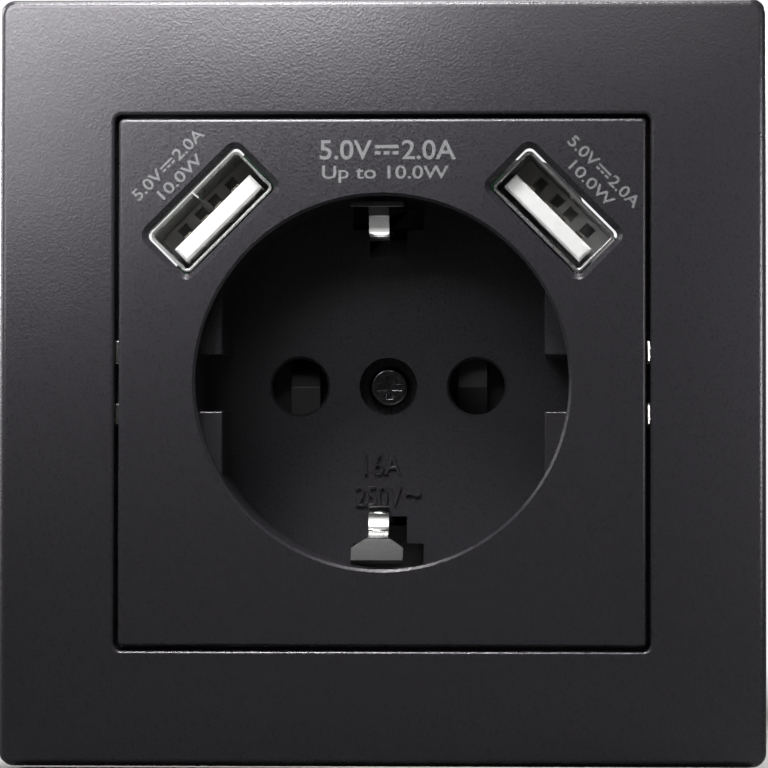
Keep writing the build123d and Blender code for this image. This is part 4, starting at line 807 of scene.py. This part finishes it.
class Line:
    """One line of marks: where it lies, which way it runs, and the mesh that it collects."""

    def __init__(self, middle, along, up, thickness):
        self.mesh = bmesh.new()
        normal = along.cross(up)
        self.place = Matrix.Translation(middle) @ Matrix((along, up, normal)).transposed().to_4x4()
        self.thickness = thickness

    def words(self, text, start, end, height, base=0.0):
        """Text between two places along the line, with a height of capitals."""
        curve = bpy.data.curves.new("words", "FONT")
        curve.body = text
        curve.extrude = 0.5
        curve.offset = BOLD
        setter = bpy.data.objects.new("words", curve)
        bpy.context.scene.collection.objects.link(setter)
        bpy.context.view_layer.update()
        ready = setter.evaluated_get(bpy.context.evaluated_depsgraph_get())
        data = bpy.data.meshes.new_from_object(ready)
        bpy.data.objects.remove(setter)
        bpy.data.curves.remove(curve)
        corners = [Vector(map(pick, zip(*(v.co for v in data.vertices)))) for pick in (min, max)]
        size = corners[1] - corners[0]
        scale = Matrix.Diagonal(((end - start) / size.x, height / size.y, self.thickness / size.z, 1.0))
        shift = Matrix.Translation((start, base - height / 2, -self.thickness / 2))
        data.transform(self.place @ shift @ scale @ Matrix.Translation(-corners[0]))
        self.mesh.from_mesh(data)
        bpy.data.meshes.remove(data)

    def bar(self, start, end, middle, height):
        """A straight stroke between two places along the line."""
        made = bmesh.ops.create_grid(self.mesh, x_segments=1, y_segments=1, size=0.5)["verts"]
        faces = list({f for v in made for f in v.link_faces})
        grown = bmesh.ops.extrude_face_region(self.mesh, geom=faces, use_keep_orig=True)["geom"]
        top = [g for g in grown if isinstance(g, bmesh.types.BMVert)]
        bmesh.ops.translate(self.mesh, verts=top, vec=(0, 0, 1))
        every = made + top
        bmesh.ops.translate(self.mesh, verts=every, vec=(0, 0, -0.5))
        bmesh.ops.scale(self.mesh, verts=every, vec=(end - start, height, self.thickness))
        bmesh.ops.translate(self.mesh, verts=every, vec=((start + end) / 2, middle, 0))
        bmesh.ops.transform(self.mesh, verts=every, matrix=self.place)

    def direct_current(self, start, end, height):
        """A bar over three dashes."""
        stroke = 0.17 * height
        shift = 0.16 * height
        self.bar(start, end, shift, stroke)
        dash = (end - start) / 4
        for i in range(3):
            left = start + i * 1.5 * dash
            self.bar(left, left + dash, -shift, stroke)

    def piece(self, name, finish="laser_mark", slot="port_plastic", edge=0.0):
        """Join the marks to one piece, with bevelled edges if a width is given."""
        bmesh.ops.remove_doubles(self.mesh, verts=self.mesh.verts, dist=MERGE_DISTANCE / 2)
        bmesh.ops.recalc_face_normals(self.mesh, faces=self.mesh.faces)
        if edge:
            ease_edges(self.mesh, edge, segments=1)
        made = finished_piece(self.mesh, name, slot)
        made.data.materials[0] = FINISHES[finish]
        return made


FACE_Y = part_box("centre_plate")[0].y
LEVEL = Vector((1, 0, 0))
UPWARD = Vector((0, 0, 1))


def face_line(x, z, turn=0.0):
    """A line on the face, with its middle in millimetres and its turn in degrees."""
    spin = Matrix.Rotation(-radians(turn), 3, "Y")
    return Line(Vector((x * MM, FACE_Y, z * MM)), spin @ LEVEL, spin @ UPWARD, 2 * INK_LIFT)


def rating(line, half, height):
    """Voltage, sign and current, spread over a length."""
    line.words("5.0V", -half, -0.23 * half, height)
    line.direct_current(-0.19 * half, 0.16 * half, height)
    line.words("2.0A", 0.21 * half, half, height)
    return line


TOP_RATING = (0.6, 24.25)  # millimetres across and up from the middle of the well
TOP_POWER = (0.35, 21.7)
TOP_RATING_HALF, TOP_RATING_HEIGHT = 7.1 * MM, 2.05 * MM
TOP_POWER_HALF, TOP_POWER_HEIGHT = 6.6 * MM, 1.8 * MM
OUTER_LINE = 31.9  # millimetres from the middle of the well
INNER_LINE = 30.1
PORT_RATING_HALF, PORT_RATING_HEIGHT = 4.9 * MM, 1.25 * MM
PORT_POWER_HALF, PORT_POWER_HEIGHT = 2.95 * MM, 1.2 * MM

rating(face_line(*TOP_RATING), TOP_RATING_HALF, TOP_RATING_HEIGHT).piece("top_rating")
top_power = face_line(*TOP_POWER)
top_power.words("Up to 10.0W", -TOP_POWER_HALF, TOP_POWER_HALF, TOP_POWER_HEIGHT)
top_power.piece("top_power")
for name, angle, turn, slide in (("left", 135.0, 45.0, 0.3), ("right", 45.0, -45.0, 0.85)):
    out = Vector((cos(radians(angle)), sin(radians(angle))))
    along = Vector((cos(radians(turn)), sin(radians(turn))))
    x, z = OUTER_LINE * out + slide * along
    side_rating = rating(face_line(x, z, turn), PORT_RATING_HALF, PORT_RATING_HEIGHT)
    side_rating.piece(name + "_port_rating")
    x, z = INNER_LINE * out + slide * along
    power = face_line(x, z, turn)
    power.words("10.0W", -PORT_POWER_HALF, PORT_POWER_HALF, PORT_POWER_HEIGHT)
    power.piece(name + "_port_power")
print("face ratings laid on", round(FACE_Y, 4))

# %% [markdown]
# The current and the voltage of the socket are moulded into the floor of the well, in the same black
# plastic. Only their edges catch the light, so they need a real height and a small bevel.

# %% Raised ratings
FLOOR_Y = 7.5 * MM
LETTER_HEIGHT = 0.30 * MM
LETTER_EASE = 0.07 * MM
CAPITALS = 2.3 * MM
raised = Line(Vector((-0.6 * MM, FLOOR_Y, -8.4 * MM)), LEVEL, UPWARD, 2 * LETTER_HEIGHT)
raised.words("16A", -2.0 * MM, 2.0 * MM, CAPITALS)
raised.words("250V", -2.9 * MM, 2.1 * MM, CAPITALS, base=-3.4 * MM)
raised.words("~", 2.5 * MM, 4.1 * MM, 0.6 * MM, base=-3.2 * MM)
raised.piece("well_rating", "plate_plastic", "plate_plastic", edge=LETTER_EASE)
print("raised letters on", round(FLOOR_Y, 4))

# %% [markdown]
# At the back an electrician has to know which hole is which: phase, earth and neutral are printed
# above the three terminal screws, with the same tools as the ratings on the face.

# %% Terminal marks
BACK_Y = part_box("rear_cover")[1].y
LEFTWARD = Vector((-1, 0, 0))
MARK_HEIGHT = 2.4 * MM
MARK_HALF = 0.75 * MM
MARK_LEVEL = -9.6 * MM
EARTH_STROKE = 0.27 * MM


def back_line(x):
    """A line on the back of the rear cover."""
    return Line(Vector((x, BACK_Y, MARK_LEVEL)), LEFTWARD, UPWARD, 2 * INK_LIFT)


for name in ("line", "neutral"):
    low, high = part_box(name + "_terminal")
    mark = back_line((low.x + high.x) / 2)
    mark.words(name[0].upper(), -MARK_HALF, MARK_HALF, MARK_HEIGHT)
    mark.piece(name + "_mark")
earth_mark = back_line(0.0)
earth_mark.bar(-0.15 * MM, 0.15 * MM, 0.75 * MM, 0.9 * MM)
for i in range(3):
    half = (1.1 - 0.36 * i) * MM
    earth_mark.bar(-half, half, (0.2 - 0.55 * i) * MM, EARTH_STROKE)
earth_mark.piece("earth_mark")
print("terminal marks on", round(BACK_Y, 4))
